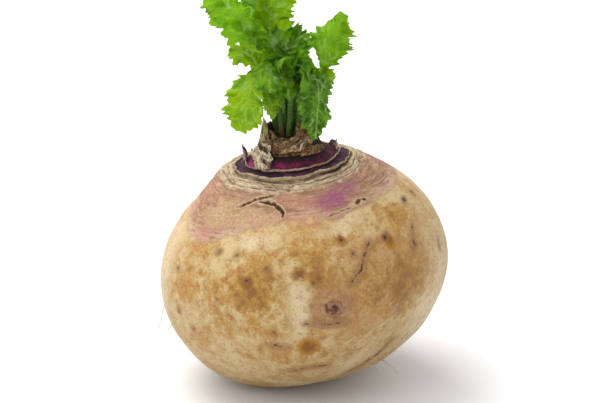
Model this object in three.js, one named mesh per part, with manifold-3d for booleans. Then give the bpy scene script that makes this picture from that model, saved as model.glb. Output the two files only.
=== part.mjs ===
// A turnip: a round storage root with a ringed crown, dry leaf-base scales on its neck,
// and a tuft of young leaves growing from the cup at the top of the neck.
//
// Units are millimetres and +Z is up. The origin is the middle of the flat spot that the root rests on,
// +X is the side that the tail points to, and -Y is the front.
import * as THREE from "three";
import { mergeVertices } from "three/addons/utils/BufferGeometryUtils.js";
import Module from "manifold-3d";

// ---- Driving dimensions ----

const clearance = 0.35; // gap between neighbouring pieces

const body = {
  width: 90, // across the widest part
  depth: 87, // the other way across
  height: 72.6, // along the body's own axis
  lean: 16.7, // degrees that this axis leans towards -X
  restCut: 1.2, // depth of the flat spot under the lowest point
};

// The crown is laid out from its middle outwards: stalks, cup, neck, rings, collar.
const stalk = {
  radius: 0.92,
  gap: 0.48, // between neighbours, where the outer ones stand in a circle
};

const cup = {
  slack: 2, // between the circle of stalks and the cup's wall
  depth: 4.4,
};

const neck = {
  tilt: 3, // degrees that the inner ring and the rim slope down towards the back
  rimWidth: 1.1,
  waistFlare: 0.8, // growth in radius from the rim down to the waist
  waistDrop: 4,
  footFlare: 1.2, // and from the waist down to the neck's foot
  footDrop: 3.3,
  shelfWidth: 5.2, // the neck's foot stands on a shelf inside the inner ring
  shelfRise: 2.7,
};

const crown = {
  lean: 6, // degrees that the neck leans towards -X
  bandWidth: 3.2, // between the lips of the two leaf-scar rings
  bandRise: 0.7,
  lipRise: 0.9, // height of a lip above the band outside it
  lipWidth: 0.5,
  collarWidth: 2.8, // the broad corky ring round the outer lip
  collarRise: 0.6,
  lift: 1.9, // height of the collar's edge above the plain round body
  fadeWidth: 12.4, // over which this lift runs out into the body
};

const tail = {
  turn: 6, // degrees round from +X towards the back
  drop: 55, // degrees below the horizontal
  length: 4.8, // beyond the body's surface
  sunk: 5, // root of the tail inside the body
  baseRadius: 2.7,
  tipRadius: 0.75,
};

const leafThickness = 0.9; // of a blade, away from its midrib
const ribSpread = 1.6; // over which the midrib thins out into the blade

// The body is slightly uneven: each swelling has a direction, a height and a reach in degrees.
const swellings = [
  { turn: 205, drop: 53, height: 0.9, reach: 22 },
  { turn: 280, drop: 62, height: -0.9, reach: 26 },
  { turn: 350, drop: -38, height: -0.7, reach: 24 },
  { turn: 0, drop: -5, height: 0.9, reach: 32 },
  { turn: 185, drop: -10, height: 0.5, reach: 30 },
  { turn: 60, drop: 5, height: 0.7, reach: 30 },
  { turn: 130, drop: 25, height: -0.8, reach: 28 },
  { turn: 270, drop: -5, height: 0.5, reach: 32 },
];

// Each leaf stands on the cup's floor at `foot` degrees round the neck, or in the middle of it.
// `stalk` and `blade` are points on its midrib, measured from its foot. `side` is the direction
// of its right-hand half at the blade's foot and at its tip. `left` and `right` are the halves' widths,
// `lobes` is how many lobes each half has, `fold` is how steeply the halves rise from the midrib, and
// `wave` is the height of the ruffles.
const leaves = [
  {
    name: "leaf_front_left",
    foot: -130,
    stalk: [[-0.5, 0, 9.5], [-2.5, 0.5, 16.5], [-5, -0.5, 22]],
    blade: [[-7.5, -3.5, 20], [-9.5, -5.5, 15.5], [-10.5, -6.5, 10], [-12.5, -7, 4]],
    side: [[0.8, -0.5, 0.3], [0.95, -0.2, 0.2]],
    left: 7.4,
    right: 4.6,
    lobes: 1,
    fold: 0.12,
    wave: 0.4,
  },
  {
    name: "leaf_small_left",
    foot: -170,
    stalk: [[-1, 0, 5.5], [-2.5, 0, 10.5], [-4, -1, 14.5]],
    blade: [[-4.5, -3, 16], [-3.5, -4, 15], [-2, -5, 11.5], [-1.5, -5.5, 7]],
    side: [[0.9, -0.3, 0.2], [0.95, -0.3, 0.1]],
    left: 1.9,
    right: 1.9,
    lobes: 1,
    fold: 0.2,
    wave: 0.1,
  },
  {
    name: "leaf_front",
    foot: -90,
    stalk: [[0.5, -1, 7], [0.5, -1.5, 13], [-1, -2.5, 19.5]],
    blade: [[-2.5, -4, 23.5], [-4.5, -5.5, 24], [-5.5, -7, 21], [-5.5, -8, 16]],
    side: [[0.9, -0.3, 0.3], [0.98, -0.1, 0.1]],
    left: 4.8,
    right: 3.4,
    lobes: 2,
    fold: 0.12,
    wave: 0.4,
  },
  {
    name: "leaf_front_right",
    foot: -50,
    stalk: [[1, -1, 4.5], [1.5, -1.5, 11], [3, -2.5, 17.5]],
    blade: [[5, -4, 19.5], [6.5, -6, 18], [7, -7, 14], [6.5, -7.5, 8], [6, -7, 1]],
    side: [[0.85, 0.2, -0.3], [0.98, -0.1, 0.05]],
    left: 6.6,
    right: 3.2,
    lobes: 1,
    fold: 0.1,
    wave: 0.35,
  },
  {
    name: "leaf_right",
    foot: -10,
    stalk: [[1, 0.5, 3.5], [2.5, 0.5, 10], [5, 0.5, 15.5]],
    blade: [[7, 0.5, 20], [8, 0.5, 24.5], [9, 0.5, 28], [10.5, 1, 32], [13.5, 1.5, 37]],
    side: [[0.85, 0.3, -0.3], [0.75, 0.4, -0.5]],
    left: 8.2,
    right: 4.4,
    lobes: 2,
    fold: 0.3,
    wave: 0.5,
  },
  {
    name: "leaf_tall_middle",
    foot: 30,
    stalk: [[-2, 1, 7], [-5, 2.5, 15], [-7.5, 3.5, 23]],
    blade: [[-8.5, 3.5, 30], [-8.5, 3.5, 35.5], [-6.5, 3, 40.5], [-2.5, 2.5, 46.5]],
    side: [[0.95, 0, -0.1], [0.8, 0, -0.6]],
    left: 3.6,
    right: 4.2,
    lobes: 2,
    fold: 0.2,
    wave: 0.4,
  },
  {
    name: "leaf_tall_left",
    foot: 70,
    stalk: [[-2, 1, 7.5], [-4, 3.5, 15], [-6.5, 5, 22.5]],
    blade: [[-9, 5.5, 29], [-10.5, 5.5, 35], [-11.5, 5, 40.5], [-13, 4.5, 48]],
    side: [[0.95, 0.15, 0.1], [0.95, 0.1, 0.1]],
    left: 5.8,
    right: 4.6,
    lobes: 3,
    fold: 0.15,
    wave: 0.4,
  },
  {
    name: "leaf_back_left",
    foot: 110,
    stalk: [[-1.5, 0, 6.5], [-3.5, 1, 14], [-6, 1, 21.5]],
    blade: [[-9, -0.5, 28.5], [-13, -2, 34.5], [-17, -3, 40], [-22, -3, 45.5]],
    side: [[0.75, -0.1, 0.65], [0.7, -0.1, 0.7]],
    left: 6.6,
    right: 6.4,
    lobes: 3,
    fold: 0.15,
    wave: 0.5,
  },
  {
    name: "leaf_left",
    foot: 150,
    stalk: [[-1, 0, 6], [-3, 0.5, 12.5], [-5, 0, 19]],
    blade: [[-7, -2.5, 24], [-9, -4.5, 26.5], [-11.5, -5.5, 27.5], [-14.5, -6.5, 29]],
    side: [[0.35, -0.6, 0.7], [0.2, -0.55, 0.8]],
    left: 3.6,
    right: 4.6,
    lobes: 2,
    fold: 0.2,
    wave: 0.3,
  },
  {
    name: "leaf_middle",
    foot: "middle",
    stalk: [[1.5, -1, 7.5], [2, -2, 14.5], [1.5, -3, 21.5]],
    blade: [[1, -4, 26], [0.5, -3.5, 29.5], [0, -1.5, 33.5], [-1, 1, 38.5]],
    side: [[0.97, 0.1, 0], [0.95, 0.2, 0]],
    left: 6.8,
    right: 5,
    lobes: 2,
    fold: 0.35,
    wave: 0.4,
  },
];

// Dry scales are what is left of old leaf stalks, on the neck.
// `turn` is degrees round the neck and `span` is half the scale's width in degrees. `from` and `to` are its
// foot and tip up the neck, from the inner ring (0) to the rim (1) and past it. The tip stands off the neck
// by `flare` and is lifted by `rise`.
const scales = [
  { name: "scale_stub_left", turn: -138, span: 19, from: 0.24, to: 0.34, flare: -0.4, rise: 5.2, thick: 2.2 },
  { name: "scale_purple_left", turn: 178, span: 13, from: 0.1, to: 0.2, flare: 0.4, rise: 4.6, thick: 0.8 },
  { name: "scale_front", turn: -104, span: 31, from: 0.62, to: 1.02, flare: 0.5, rise: 0, thick: 1 },
  { name: "scale_front_right", turn: -50, span: 17, from: 0.52, to: 0.6, flare: 0.4, rise: 2.4, thick: 1 },
  { name: "scale_sliver", turn: -56, span: 9, from: 0.84, to: 1.12, flare: 0.2, rise: 0, thick: 0.8 },
  { name: "scale_right", turn: 14, span: 14, from: 0.08, to: 0.18, flare: 0.3, rise: 2.8, thick: 0.9 },
  { name: "scale_upper_left", turn: -170, span: 18, from: 0.7, to: 1.24, flare: 0.8, rise: 0, thick: 1 },
  { name: "scale_back_right", turn: 38, span: 24, from: 0.6, to: 1.06, flare: 0.5, rise: 0, thick: 1 },
  { name: "scale_back", turn: 92, span: 22, from: 0.62, to: 1.12, flare: 0.6, rise: 0, thick: 1 },
  { name: "scale_back_left", turn: 140, span: 19, from: 0.6, to: 1.08, flare: 0.5, rise: 0, thick: 1 },
];

// ---- Small helpers ----

const rad = THREE.MathUtils.degToRad;
const mix = THREE.MathUtils.lerp;
const smooth = THREE.MathUtils.smoothstep;
const vec = (x, y, z) => new THREE.Vector3(x, y, z);

// A unit vector, `turn` degrees round from +X and `drop` degrees below the horizontal.
function aim(turn, drop) {
  const level = Math.cos(rad(drop));
  return vec(level * Math.cos(rad(turn)), level * Math.sin(rad(turn)), -Math.sin(rad(drop)));
}

// A closed surface over a stack of rings. Each ring is a list of points that runs anticlockwise
// as seen from the first ring's end, and both ends close on a middle point.
function closedStack(firstMiddle, rings, lastMiddle) {
  const around = rings[0].length;
  const points = [firstMiddle, ...rings.flat(), lastMiddle];
  const last = points.length - 1;
  const faces = [];
  const at = (ring, i) => 1 + ring * around + (i % around);
  for (let i = 0; i < around; i++) {
    faces.push(0, at(0, i), at(0, i + 1));
    faces.push(last, at(rings.length - 1, i + 1), at(rings.length - 1, i));
    for (let ring = 0; ring < rings.length - 1; ring++) {
      faces.push(at(ring, i), at(ring + 1, i), at(ring + 1, i + 1));
      faces.push(at(ring, i), at(ring + 1, i + 1), at(ring, i + 1));
    }
  }
  const geometry = new THREE.BufferGeometry().setFromPoints(points);
  geometry.setIndex(faces);
  return geometry;
}

// ---- Solids, for joining and cutting ----

const wasm = await Module();
wasm.setup();

function toSolid(geometry) {
  const bare = geometry.clone();
  bare.deleteAttribute("normal");
  bare.deleteAttribute("uv");
  const merged = mergeVertices(bare, 1e-4);
  return new wasm.Manifold(
    new wasm.Mesh({
      numProp: 3,
      vertProperties: new Float32Array(merged.attributes.position.array),
      triVerts: new Uint32Array(merged.index.array),
    }),
  );
}

function toGeometry(solid) {
  const mesh = solid.getMesh();
  const geometry = new THREE.BufferGeometry();
  geometry.setAttribute("position", new THREE.BufferAttribute(mesh.vertProperties, 3));
  geometry.setIndex(new THREE.BufferAttribute(mesh.triVerts, 1));
  return geometry;
}

// ---- The round body ----

const halfWidth = body.width / 2;
const halfDepth = body.depth / 2;
const halfHeight = body.height / 2;
const leanSine = Math.sin(rad(body.lean));
const leanCosine = Math.cos(rad(body.lean));
const standing = Math.hypot(halfWidth * leanSine, halfHeight * leanCosine);
const lowPointShift = ((halfWidth ** 2 - halfHeight ** 2) * leanSine * leanCosine) / standing;
const centre = vec(lowPointShift, 0, standing - body.restCut);

// Axes of the leaning body, and of the neck.
const bodyAcross = vec(leanCosine, 0, leanSine);
const bodyUp = vec(-leanSine, 0, leanCosine);
const neckAcross = vec(Math.cos(rad(crown.lean)), 0, Math.sin(rad(crown.lean)));
const neckBack = vec(0, 1, 0);
const neckUp = vec(-Math.sin(rad(crown.lean)), 0, Math.cos(rad(crown.lean)));

function swellingAt(direction) {
  let height = 0;
  for (const swelling of swellings) {
    const angle = direction.angleTo(aim(swelling.turn, swelling.drop));
    height += swelling.height * Math.exp(-((angle / rad(swelling.reach)) ** 2));
  }
  return height;
}

// Distance from the centre to the body's surface, in a unit direction.
function bodyRadius(direction) {
  const x = direction.dot(bodyAcross) / halfWidth;
  const y = direction.y / halfDepth;
  const z = direction.dot(bodyUp) / halfHeight;
  return 1 / Math.hypot(x, y, z) + swellingAt(direction);
}

// A unit direction, `angle` radians from the neck and `turn` radians round it.
function neckDirection(angle, turn) {
  return neckUp
    .clone()
    .multiplyScalar(Math.cos(angle))
    .addScaledVector(neckAcross, Math.sin(angle) * Math.cos(turn))
    .addScaledVector(neckBack, Math.sin(angle) * Math.sin(turn));
}

// A point given by its distance from the neck's axis, its turn round it and its height along it.
function neckPoint(radius, turn, height) {
  return centre
    .clone()
    .addScaledVector(neckUp, height)
    .addScaledVector(neckAcross, radius * Math.cos(turn))
    .addScaledVector(neckBack, radius * Math.sin(turn));
}

// The body's own height, along the neck, at a distance from the neck's axis.
function bodyHeightAt(radius, turn) {
  let height = halfHeight;
  for (let step = 0; step < 12; step++) {
    const angle = Math.atan2(radius, height);
    height = bodyRadius(neckDirection(angle, turn)) * Math.cos(angle);
  }
  return height;
}

// ---- The crown: corky collar, two scar rings, neck and cup ----

const outerStalks = leaves.length - 1;
const stalkCircle = (stalk.radius + stalk.gap / 2) / Math.sin(Math.PI / outerStalks);
const cupRadius = stalkCircle + stalk.radius + cup.slack;
const rimRadius = cupRadius + neck.rimWidth;
const waistRadius = rimRadius + neck.waistFlare;
const footRadius = waistRadius + neck.footFlare;
const innerRing = footRadius + neck.shelfWidth;
const outerRing = innerRing + crown.bandWidth;
const collarRadius = outerRing + crown.collarWidth;

const quarterTurns = [0, 1, 2, 3].map((quarter) => (quarter * Math.PI) / 2);
const plainHeight = quarterTurns.reduce((sum, turn) => sum + bodyHeightAt(collarRadius, turn), 0) / 4;
const collarHeight = plainHeight + crown.lift;
const collarTop = collarHeight + crown.collarRise;
const outerLip = collarTop + crown.lipRise * 0.6;
const innerLip = outerLip + crown.bandRise + crown.lipRise;
const footHeight = innerLip + neck.shelfRise;
const waistHeight = footHeight + neck.footDrop;
const rimHeight = waistHeight + neck.waistDrop;
const cupFloor = rimHeight - cup.depth;

// Outlines as [radius, height] pairs, from the outside in.
const collarOutline = [
  [collarRadius, collarHeight],
  [collarRadius - crown.collarWidth * 0.4, collarTop],
  [outerRing + crown.lipWidth, outerLip - crown.lipRise],
  [outerRing, outerLip],
  [outerRing - crown.lipWidth, outerLip - crown.lipRise * 0.3],
  [innerRing + crown.lipWidth, innerLip - crown.lipRise],
];
const neckWall = [
  [innerRing, innerLip],
  [innerRing - crown.lipWidth, innerLip - crown.lipRise * 0.3],
  [footRadius + neck.shelfWidth * 0.46, innerLip + neck.shelfRise * 0.4],
  [footRadius, footHeight],
  [waistRadius, waistHeight],
  [rimRadius, rimHeight - neck.rimWidth],
];
const cupOutline = [
  [rimRadius - neck.rimWidth * 0.5, rimHeight],
  [cupRadius, rimHeight - neck.rimWidth],
  [cupRadius * 0.92, cupFloor],
];

// A point on the neck, which slopes down towards the back.
function slopedPoint(radius, turn, height) {
  return neckPoint(radius, turn, height - Math.tan(rad(neck.tilt)) * radius * Math.sin(turn));
}

// ---- The root: body, crown and tail in one piece ----

const rootSides = 48;
const bodyRows = 17;

function bodyRow(angle) {
  const row = [];
  for (let i = 0; i < rootSides; i++) {
    const turn = (i / rootSides) * 2 * Math.PI;
    const direction = neckDirection(angle, turn);
    const reach = bodyRadius(direction);
    const radius = reach * Math.sin(angle);
    const raise = collarHeight - bodyHeightAt(collarRadius, turn);
    const fade = 1 - smooth(radius, collarRadius, collarRadius + crown.fadeWidth);
    const above = angle < Math.PI / 2 ? raise * fade : 0;
    row.push(neckPoint(radius, turn, reach * Math.cos(angle) + above));
  }
  return row;
}

function crownRows(outline, pointAt) {
  return outline.map(([radius, height]) => {
    const row = [];
    for (let i = 0; i < rootSides; i++) {
      row.push(pointAt(radius, (i / rootSides) * 2 * Math.PI, height));
    }
    return row;
  });
}

function roundRoot() {
  const firstAngle = Math.atan2(collarRadius * 1.12, collarHeight);
  const rows = [
    ...crownRows(collarOutline, neckPoint),
    ...crownRows(neckWall, slopedPoint),
    ...crownRows(cupOutline, slopedPoint),
  ].reverse();
  for (let i = 0; i < bodyRows; i++) {
    rows.push(bodyRow(mix(firstAngle, Math.PI * 0.97, i / (bodyRows - 1))));
  }
  const bottom = centre.clone().addScaledVector(neckUp, -bodyRadius(neckUp.clone().negate()));
  return closedStack(neckPoint(0, 0, cupFloor), rows, bottom);
}

// The tail is a short tapering stub that turns down towards the ground.
function tailStub() {
  const direction = aim(tail.turn, tail.drop);
  const surface = bodyRadius(direction);
  const start = centre.clone().addScaledVector(direction, surface - tail.sunk);
  const end = centre.clone().addScaledVector(direction, surface + tail.length);
  const side = vec(0, 1, 0).cross(direction).normalize();
  const other = direction.clone().cross(side);
  const rings = [];
  for (let ring = 0; ring <= 6; ring++) {
    const along = ring / 6;
    const radius = mix(tail.baseRadius, tail.tipRadius, smooth(along, 0, 1));
    const middle = start.clone().lerp(end, along);
    const points = [];
    for (let i = 0; i < 10; i++) {
      const turn = -(i / 10) * 2 * Math.PI;
      const across = side.clone().multiplyScalar(Math.cos(turn) * radius);
      points.push(middle.clone().add(across).addScaledVector(other, Math.sin(turn) * radius));
    }
    rings.push(points);
  }
  return closedStack(start, rings, end);
}

function rootGeometry() {
  const cutter = new THREE.BoxGeometry(body.width, body.depth, standing);
  cutter.translate(0, 0, -standing / 2);
  const whole = toSolid(roundRoot()).add(toSolid(tailStub()));
  return toGeometry(whole.subtract(toSolid(cutter)));
}

// ---- Leaves ----

const stalkRings = 6;
const bladeRings = 15;
const leafSides = 6; // points across each face of a leaf

// Share of a half's full width, from the blade's foot (0) to its tip (1).
function bladeOutline(along, lobes) {
  const swell = mix(0.2, 1, smooth(along, 0, 0.3)) * Math.sqrt(Math.max(0, 1 - along ** 4));
  const notch = 0.5 + 0.5 * Math.cos(2 * Math.PI * lobes * along);
  return swell * (1 - 0.4 * notch * notch);
}

// One cross-section of a leaf: a flattened ring that is round in the stalk and wide in the blade.
function leafSection(leaf, middle, forward, side, along) {
  const right = side.clone().addScaledVector(forward, -side.dot(forward)).normalize();
  const up = right.clone().cross(forward);
  const inBlade = smooth(along, -0.05, 0.1);
  const wide = bladeOutline(Math.max(0, along), leaf.lobes);
  const ribRadius = stalk.radius * mix(1, 0.4, smooth(along, -0.4, 1));
  const halves = [leaf.right, leaf.left].map((width) => mix(ribRadius, width * wide + 0.3, inBlade));
  const points = [];
  for (const face of [1, -1]) {
    for (let i = 0; i < leafSides; i++) {
      const across = (face * (2 * i + 1 - leafSides)) / leafSides;
      const reach = (across < 0 ? halves[0] : halves[1]) * across;
      const round = ribRadius * Math.sqrt(1 - across ** 2);
      const nearRib = Math.max(0, 1 - Math.abs(reach) / ribSpread);
      const flat = leafThickness / 2 + (ribRadius - leafThickness / 2) * nearRib;
      const lift = inBlade * Math.abs(reach) * leaf.fold;
      const ruffle = inBlade * leaf.wave * across ** 2 * Math.sin(along * 9 + across * 2);
      const high = face * mix(round, flat, inBlade) + lift + ruffle;
      points.push(middle.clone().addScaledVector(right, -reach).addScaledVector(up, high));
    }
  }
  return points;
}

function leafGeometry(leaf) {
  const inCircle = leaf.foot === "middle" ? 0 : stalkCircle;
  const turn = leaf.foot === "middle" ? 0 : rad(leaf.foot);
  const foot = slopedPoint(inCircle, turn, cupFloor + clearance + stalk.radius * 0.4);
  const fromFoot = ([x, y, z]) => foot.clone().add(vec(x, y, z));
  const spine = new THREE.CatmullRomCurve3(
    [foot, ...[...leaf.stalk, ...leaf.blade].map(fromFoot)],
    false,
    "catmullrom",
  );
  const bladeStart = leaf.stalk.length / (leaf.stalk.length + leaf.blade.length);
  const [sideAtFoot, sideAtTip] = leaf.side.map(([x, y, z]) => vec(x, y, z));
  const rings = [];
  for (let i = 0; i < stalkRings + bladeRings; i++) {
    const along = i < stalkRings ? i / stalkRings - 1 : ((i - stalkRings) / (bladeRings - 1)) * 0.985;
    const at = along < 0 ? bladeStart * (along + 1) : mix(bladeStart, 1, along);
    const side = sideAtFoot.clone().lerp(sideAtTip, Math.max(0, along));
    rings.push(leafSection(leaf, spine.getPoint(at), spine.getTangent(at), side, along));
  }
  return closedStack(spine.getPoint(0), rings, spine.getPoint(1));
}

// ---- Dry scales: what is left of old leaf stalks, on the neck ----

const scaleRings = 6;
const scaleSides = 4; // points across each face of a scale
const scaleSeat = 0.1; // extra gap between a scale's foot and the neck

// A place on the neck's outside, from the inner ring (0) to the rim (1) and straight on past it,
// moved off the surface by a distance.
function offNeck(place, distance) {
  const steps = neckWall.length - 1;
  const step = THREE.MathUtils.clamp(Math.floor(place * steps), 0, steps - 1);
  const from = new THREE.Vector2(...neckWall[step]);
  const along = new THREE.Vector2(...neckWall[step + 1]).sub(from);
  const out = new THREE.Vector2(along.y, -along.x).normalize();
  return from.addScaledVector(along, place * steps - step).addScaledVector(out, distance);
}

function scaleGeometry(scale) {
  const rings = [];
  for (let ring = 0; ring < scaleRings; ring++) {
    const along = ring / (scaleRings - 1);
    const half = rad(scale.span) * Math.sqrt(1 - 0.85 * along ** 2);
    const on = offNeck(mix(scale.from, scale.to, along), clearance + scaleSeat);
    const height = on.y + scale.rise * along;
    const points = [];
    for (const face of [1, -1]) {
      const deep = face > 0 ? scale.thick * mix(1, 0.7, along) : 0;
      const radius = on.x + deep + scale.flare * along ** 2;
      for (let i = 0; i < scaleSides; i++) {
        const across = (-face * (2 * i + 1 - scaleSides)) / scaleSides;
        points.push(slopedPoint(radius, rad(scale.turn) + half * across, height));
      }
    }
    rings.push(points);
  }
  const middleOf = (ring) => ring.reduce((sum, p) => sum.add(p), vec(0, 0, 0)).divideScalar(ring.length);
  return closedStack(middleOf(rings[0]), rings, middleOf(rings[scaleRings - 1]));
}

// ---- The whole turnip ----

const skin = new THREE.MeshStandardMaterial({ color: 0xd9bf8c, roughness: 0.55, metalness: 0 });
const leafGreen = new THREE.MeshStandardMaterial({ color: 0x6fa31e, roughness: 0.5, metalness: 0 });
const dryBrown = new THREE.MeshStandardMaterial({ color: 0x9a7b4f, roughness: 0.85, metalness: 0 });

const turnip = new THREE.Group();

function addPiece(name, geometry, material) {
  const mesh = new THREE.Mesh(geometry, material);
  mesh.name = name;
  turnip.add(mesh);
}

addPiece("root", rootGeometry(), skin);
for (const scale of scales) {
  addPiece(scale.name, scaleGeometry(scale), dryBrown);
}
for (const leaf of leaves) {
  addPiece(leaf.name, leafGeometry(leaf), leafGreen);
}

export default turnip;
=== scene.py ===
import math
import bpy
import numpy as np
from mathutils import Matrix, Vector, noise


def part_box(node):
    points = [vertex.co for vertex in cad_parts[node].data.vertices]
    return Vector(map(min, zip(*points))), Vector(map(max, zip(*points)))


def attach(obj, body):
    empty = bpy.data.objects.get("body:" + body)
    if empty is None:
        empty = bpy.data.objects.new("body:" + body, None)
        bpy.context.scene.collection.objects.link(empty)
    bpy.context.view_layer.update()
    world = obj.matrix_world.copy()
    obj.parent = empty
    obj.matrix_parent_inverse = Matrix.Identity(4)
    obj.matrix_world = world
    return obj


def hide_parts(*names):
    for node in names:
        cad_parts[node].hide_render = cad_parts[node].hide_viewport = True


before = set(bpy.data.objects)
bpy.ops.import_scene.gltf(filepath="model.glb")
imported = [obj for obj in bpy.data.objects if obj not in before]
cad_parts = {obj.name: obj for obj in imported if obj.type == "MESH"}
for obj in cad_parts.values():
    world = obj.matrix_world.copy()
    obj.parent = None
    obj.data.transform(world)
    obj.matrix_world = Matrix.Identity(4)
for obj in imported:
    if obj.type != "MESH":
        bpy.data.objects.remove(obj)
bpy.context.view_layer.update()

# A turnip with its ringed crown, dry leaf-base scales and young leaves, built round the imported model.
# Shapes are worked out in millimetres and degrees, and turned into metres when a mesh is made.
# +X is the side that the tail points to, -Y is the front, and the root rests on z = 0.

mm = 0.001
rootLow, rootHigh = (np.array(corner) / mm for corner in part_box("root"))
rootMiddle = (rootLow + rootHigh) / 2


# small helpers on arrays of points
def aim(turn, rise):
    # a unit vector, `turn` degrees round from +X and `rise` degrees above the horizontal
    turn, rise = np.broadcast_arrays(np.radians(turn), np.radians(rise))
    return np.stack([np.cos(rise) * np.cos(turn), np.cos(rise) * np.sin(turn), np.sin(rise)], axis=-1)


def unit(v):
    return v / np.maximum(np.linalg.norm(v, axis=-1, keepdims=True), 1e-9)


def mix(a, b, share):
    return a + (b - a) * share


def smooth(x, low, high):
    share = np.clip((x - low) / (high - low), 0, 1)
    return share * share * (3 - 2 * share)


def hump(x, middle, width):
    return np.exp(-(((x - middle) / width) ** 2))


def grain(points, size, seed, octaves=1):
    # smooth noise from about -1 to 1, with lumps `size` across
    shift = Vector((17.3, 5.1, -9.7)) * seed
    flat = (np.reshape(points, (-1, 3)) / size).tolist()
    values = [noise.fractal(Vector(p) + shift, 1.0, 2.0, octaves) for p in flat]
    return np.reshape(values, np.shape(points)[:-1])


def wobble(turn, waves, seed):
    # smooth noise round a circle, `waves` lumps to a radian
    ring = np.stack([np.cos(turn) * waves, np.sin(turn) * waves, 0 * turn], axis=-1)
    return grain(ring, 1, seed, 2)


def spread(low, high, count, dense):
    # stations from low to high, closer together where dense(station) is large
    fine = np.linspace(low, high, 4000)
    total = np.concatenate([[0], np.cumsum(dense((fine[1:] + fine[:-1]) / 2))])
    return np.interp(np.linspace(0, total[-1], count), total, fine)


def meshOf(name, points, faces):
    mesh = bpy.data.meshes.new(name)
    mesh.from_pydata((np.reshape(points, (-1, 3)) * mm).tolist(), [], faces)
    mesh.polygons.foreach_set("use_smooth", [True] * len(mesh.polygons))
    mesh.update()
    piece = bpy.data.objects.new(name, mesh)
    bpy.context.scene.collection.objects.link(piece)
    return piece


def closedLoft(name, rows, first, last):
    # a closed skin over rows of points, each running anticlockwise as seen from the first end
    count, around = rows.shape[:2]
    points = np.concatenate([[first], rows.reshape(-1, 3), [last]])
    end = len(points) - 1
    at = lambda row, i: 1 + row * around + i % around
    faces = [(0, at(0, i), at(0, i + 1)) for i in range(around)]
    for row in range(count - 1):
        faces += [(at(row, i), at(row + 1, i), at(row + 1, i + 1), at(row, i + 1)) for i in range(around)]
    faces += [(end, at(count - 1, i + 1), at(count - 1, i)) for i in range(around)]
    return meshOf(name, points, faces)


def paint(piece, **layers):
    # one number for each point of a closedLoft, given by rows; both ends copy their nearest row
    for name, values in layers.items():
        rows = np.asarray(values, np.float32)
        layer = piece.data.attributes.new(name, "FLOAT", "POINT")
        layer.data.foreach_set("value", np.concatenate([[rows[0].mean()], rows.ravel(), [rows[-1].mean()]]))


def normalsOf(rows):
    # outward directions of a closedLoft's rows
    down = np.gradient(rows, axis=0)
    across = np.roll(rows, -1, axis=1) - np.roll(rows, 1, axis=1)
    return unit(np.cross(down, across))


class Wire:
    # a socket in a material's nodes, or the material's empty tree to start from
    def __init__(self, tree, socket=None):
        self.tree = tree
        self.socket = socket

    def add(self, kind, settings={}, *values, **named):
        node = self.tree.nodes.new(kind)
        for name, value in settings.items():
            setattr(node, name, value)
        shown = [socket for socket in node.inputs if socket.enabled]
        byName = [(node.inputs[name.replace("_", " ")], value) for name, value in named.items()]
        for target, value in [*zip(shown, values), *byName]:
            if isinstance(value, Wire):
                self.tree.links.new(value.socket, target)
            elif target.type == "RGBA" and len(value) == 3:
                target.default_value = (*value, 1)
            else:
                target.default_value = value
        results = [socket for socket in node.outputs if socket.enabled]
        return Wire(self.tree, results[0]) if results else Wire(self.tree)

    def out(self, name):
        return Wire(self.tree, self.socket.node.outputs[name])

    def maths(self, operation, *values):
        return self.add("ShaderNodeMath", {"operation": operation}, *values)

    def __add__(self, other):
        return self.maths("ADD", self, other)

    def __sub__(self, other):
        return self.maths("SUBTRACT", self, other)

    def __rsub__(self, other):
        return self.maths("SUBTRACT", other, self)

    def __mul__(self, other):
        return self.maths("MULTIPLY", self, other)

    __radd__ = __add__
    __rmul__ = __mul__

    def over(self, other):
        return self.maths("MAXIMUM", self, other)

    def rise(self, low, high):
        # 0 at low and 1 at high, smoothly
        return self.add("ShaderNodeMapRange", {"interpolation_type": "SMOOTHSTEP"}, self, low, high, 0.0, 1.0)

    def tint(self, colour, amount):
        # this colour, turned towards another by an amount
        return self.add("ShaderNodeMix", {"data_type": "RGBA"}, amount, self, colour)

    def between(self, low, high):
        # a colour from low to high, by this amount
        return self.add("ShaderNodeMix", {"data_type": "RGBA"}, self, low, high)

    def coats(self, tones, **amounts):
        # this colour under thin coats, one over another, each named for its tone
        colour = self
        for name, amount in amounts.items():
            colour = colour.tint(tones[name], amount)
        return colour

    def layer(self, name):
        # a number painted on the mesh
        return self.add("ShaderNodeAttribute", {"attribute_name": name}).out("Fac")


def newFinish(name):
    material = bpy.data.materials.new(name)
    material.use_nodes = True
    material.node_tree.nodes.clear()
    return material, Wire(material.node_tree)


def mottle(place, size, detail=2.0, rough=0.5, seed=0.0, blur=0.0):
    # cloudy noise from 0 to 1 with lumps about `size` millimetres across
    return place.add("ShaderNodeTexNoise", {"noise_dimensions": "4D"}, Vector=place, W=seed,
                     Scale=1 / (size * mm), Detail=detail, Roughness=rough, Distortion=blur).out("Fac")


def stretched(place, x, y, z):
    return place.add("ShaderNodeVectorMath", {"operation": "MULTIPLY"}, place, (x, y, z))


print("helpers ready")


# the root: round body, crown rings, neck and cup in one skin
root = dict(
    width=90, depth=87, height=72.6,  # across the widest part, the other way across, along its own axis
    lean=16.7,  # degrees that this axis leans towards -X
    restCut=1.2,  # depth of the flat spot
    neckLean=6, neckTilt=3,
    collarLift=1.9, fadeWidth=12.4,
    frontDip=1.4,  # how much lower the rings hang in front
    beltTurn=-145, beltEdge=50.5, beltDrop=12.5,  # the tinted shoulder's edge, and where it hangs lowest
    columns=400, crownRows=92, bodyRows=152,
)
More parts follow.
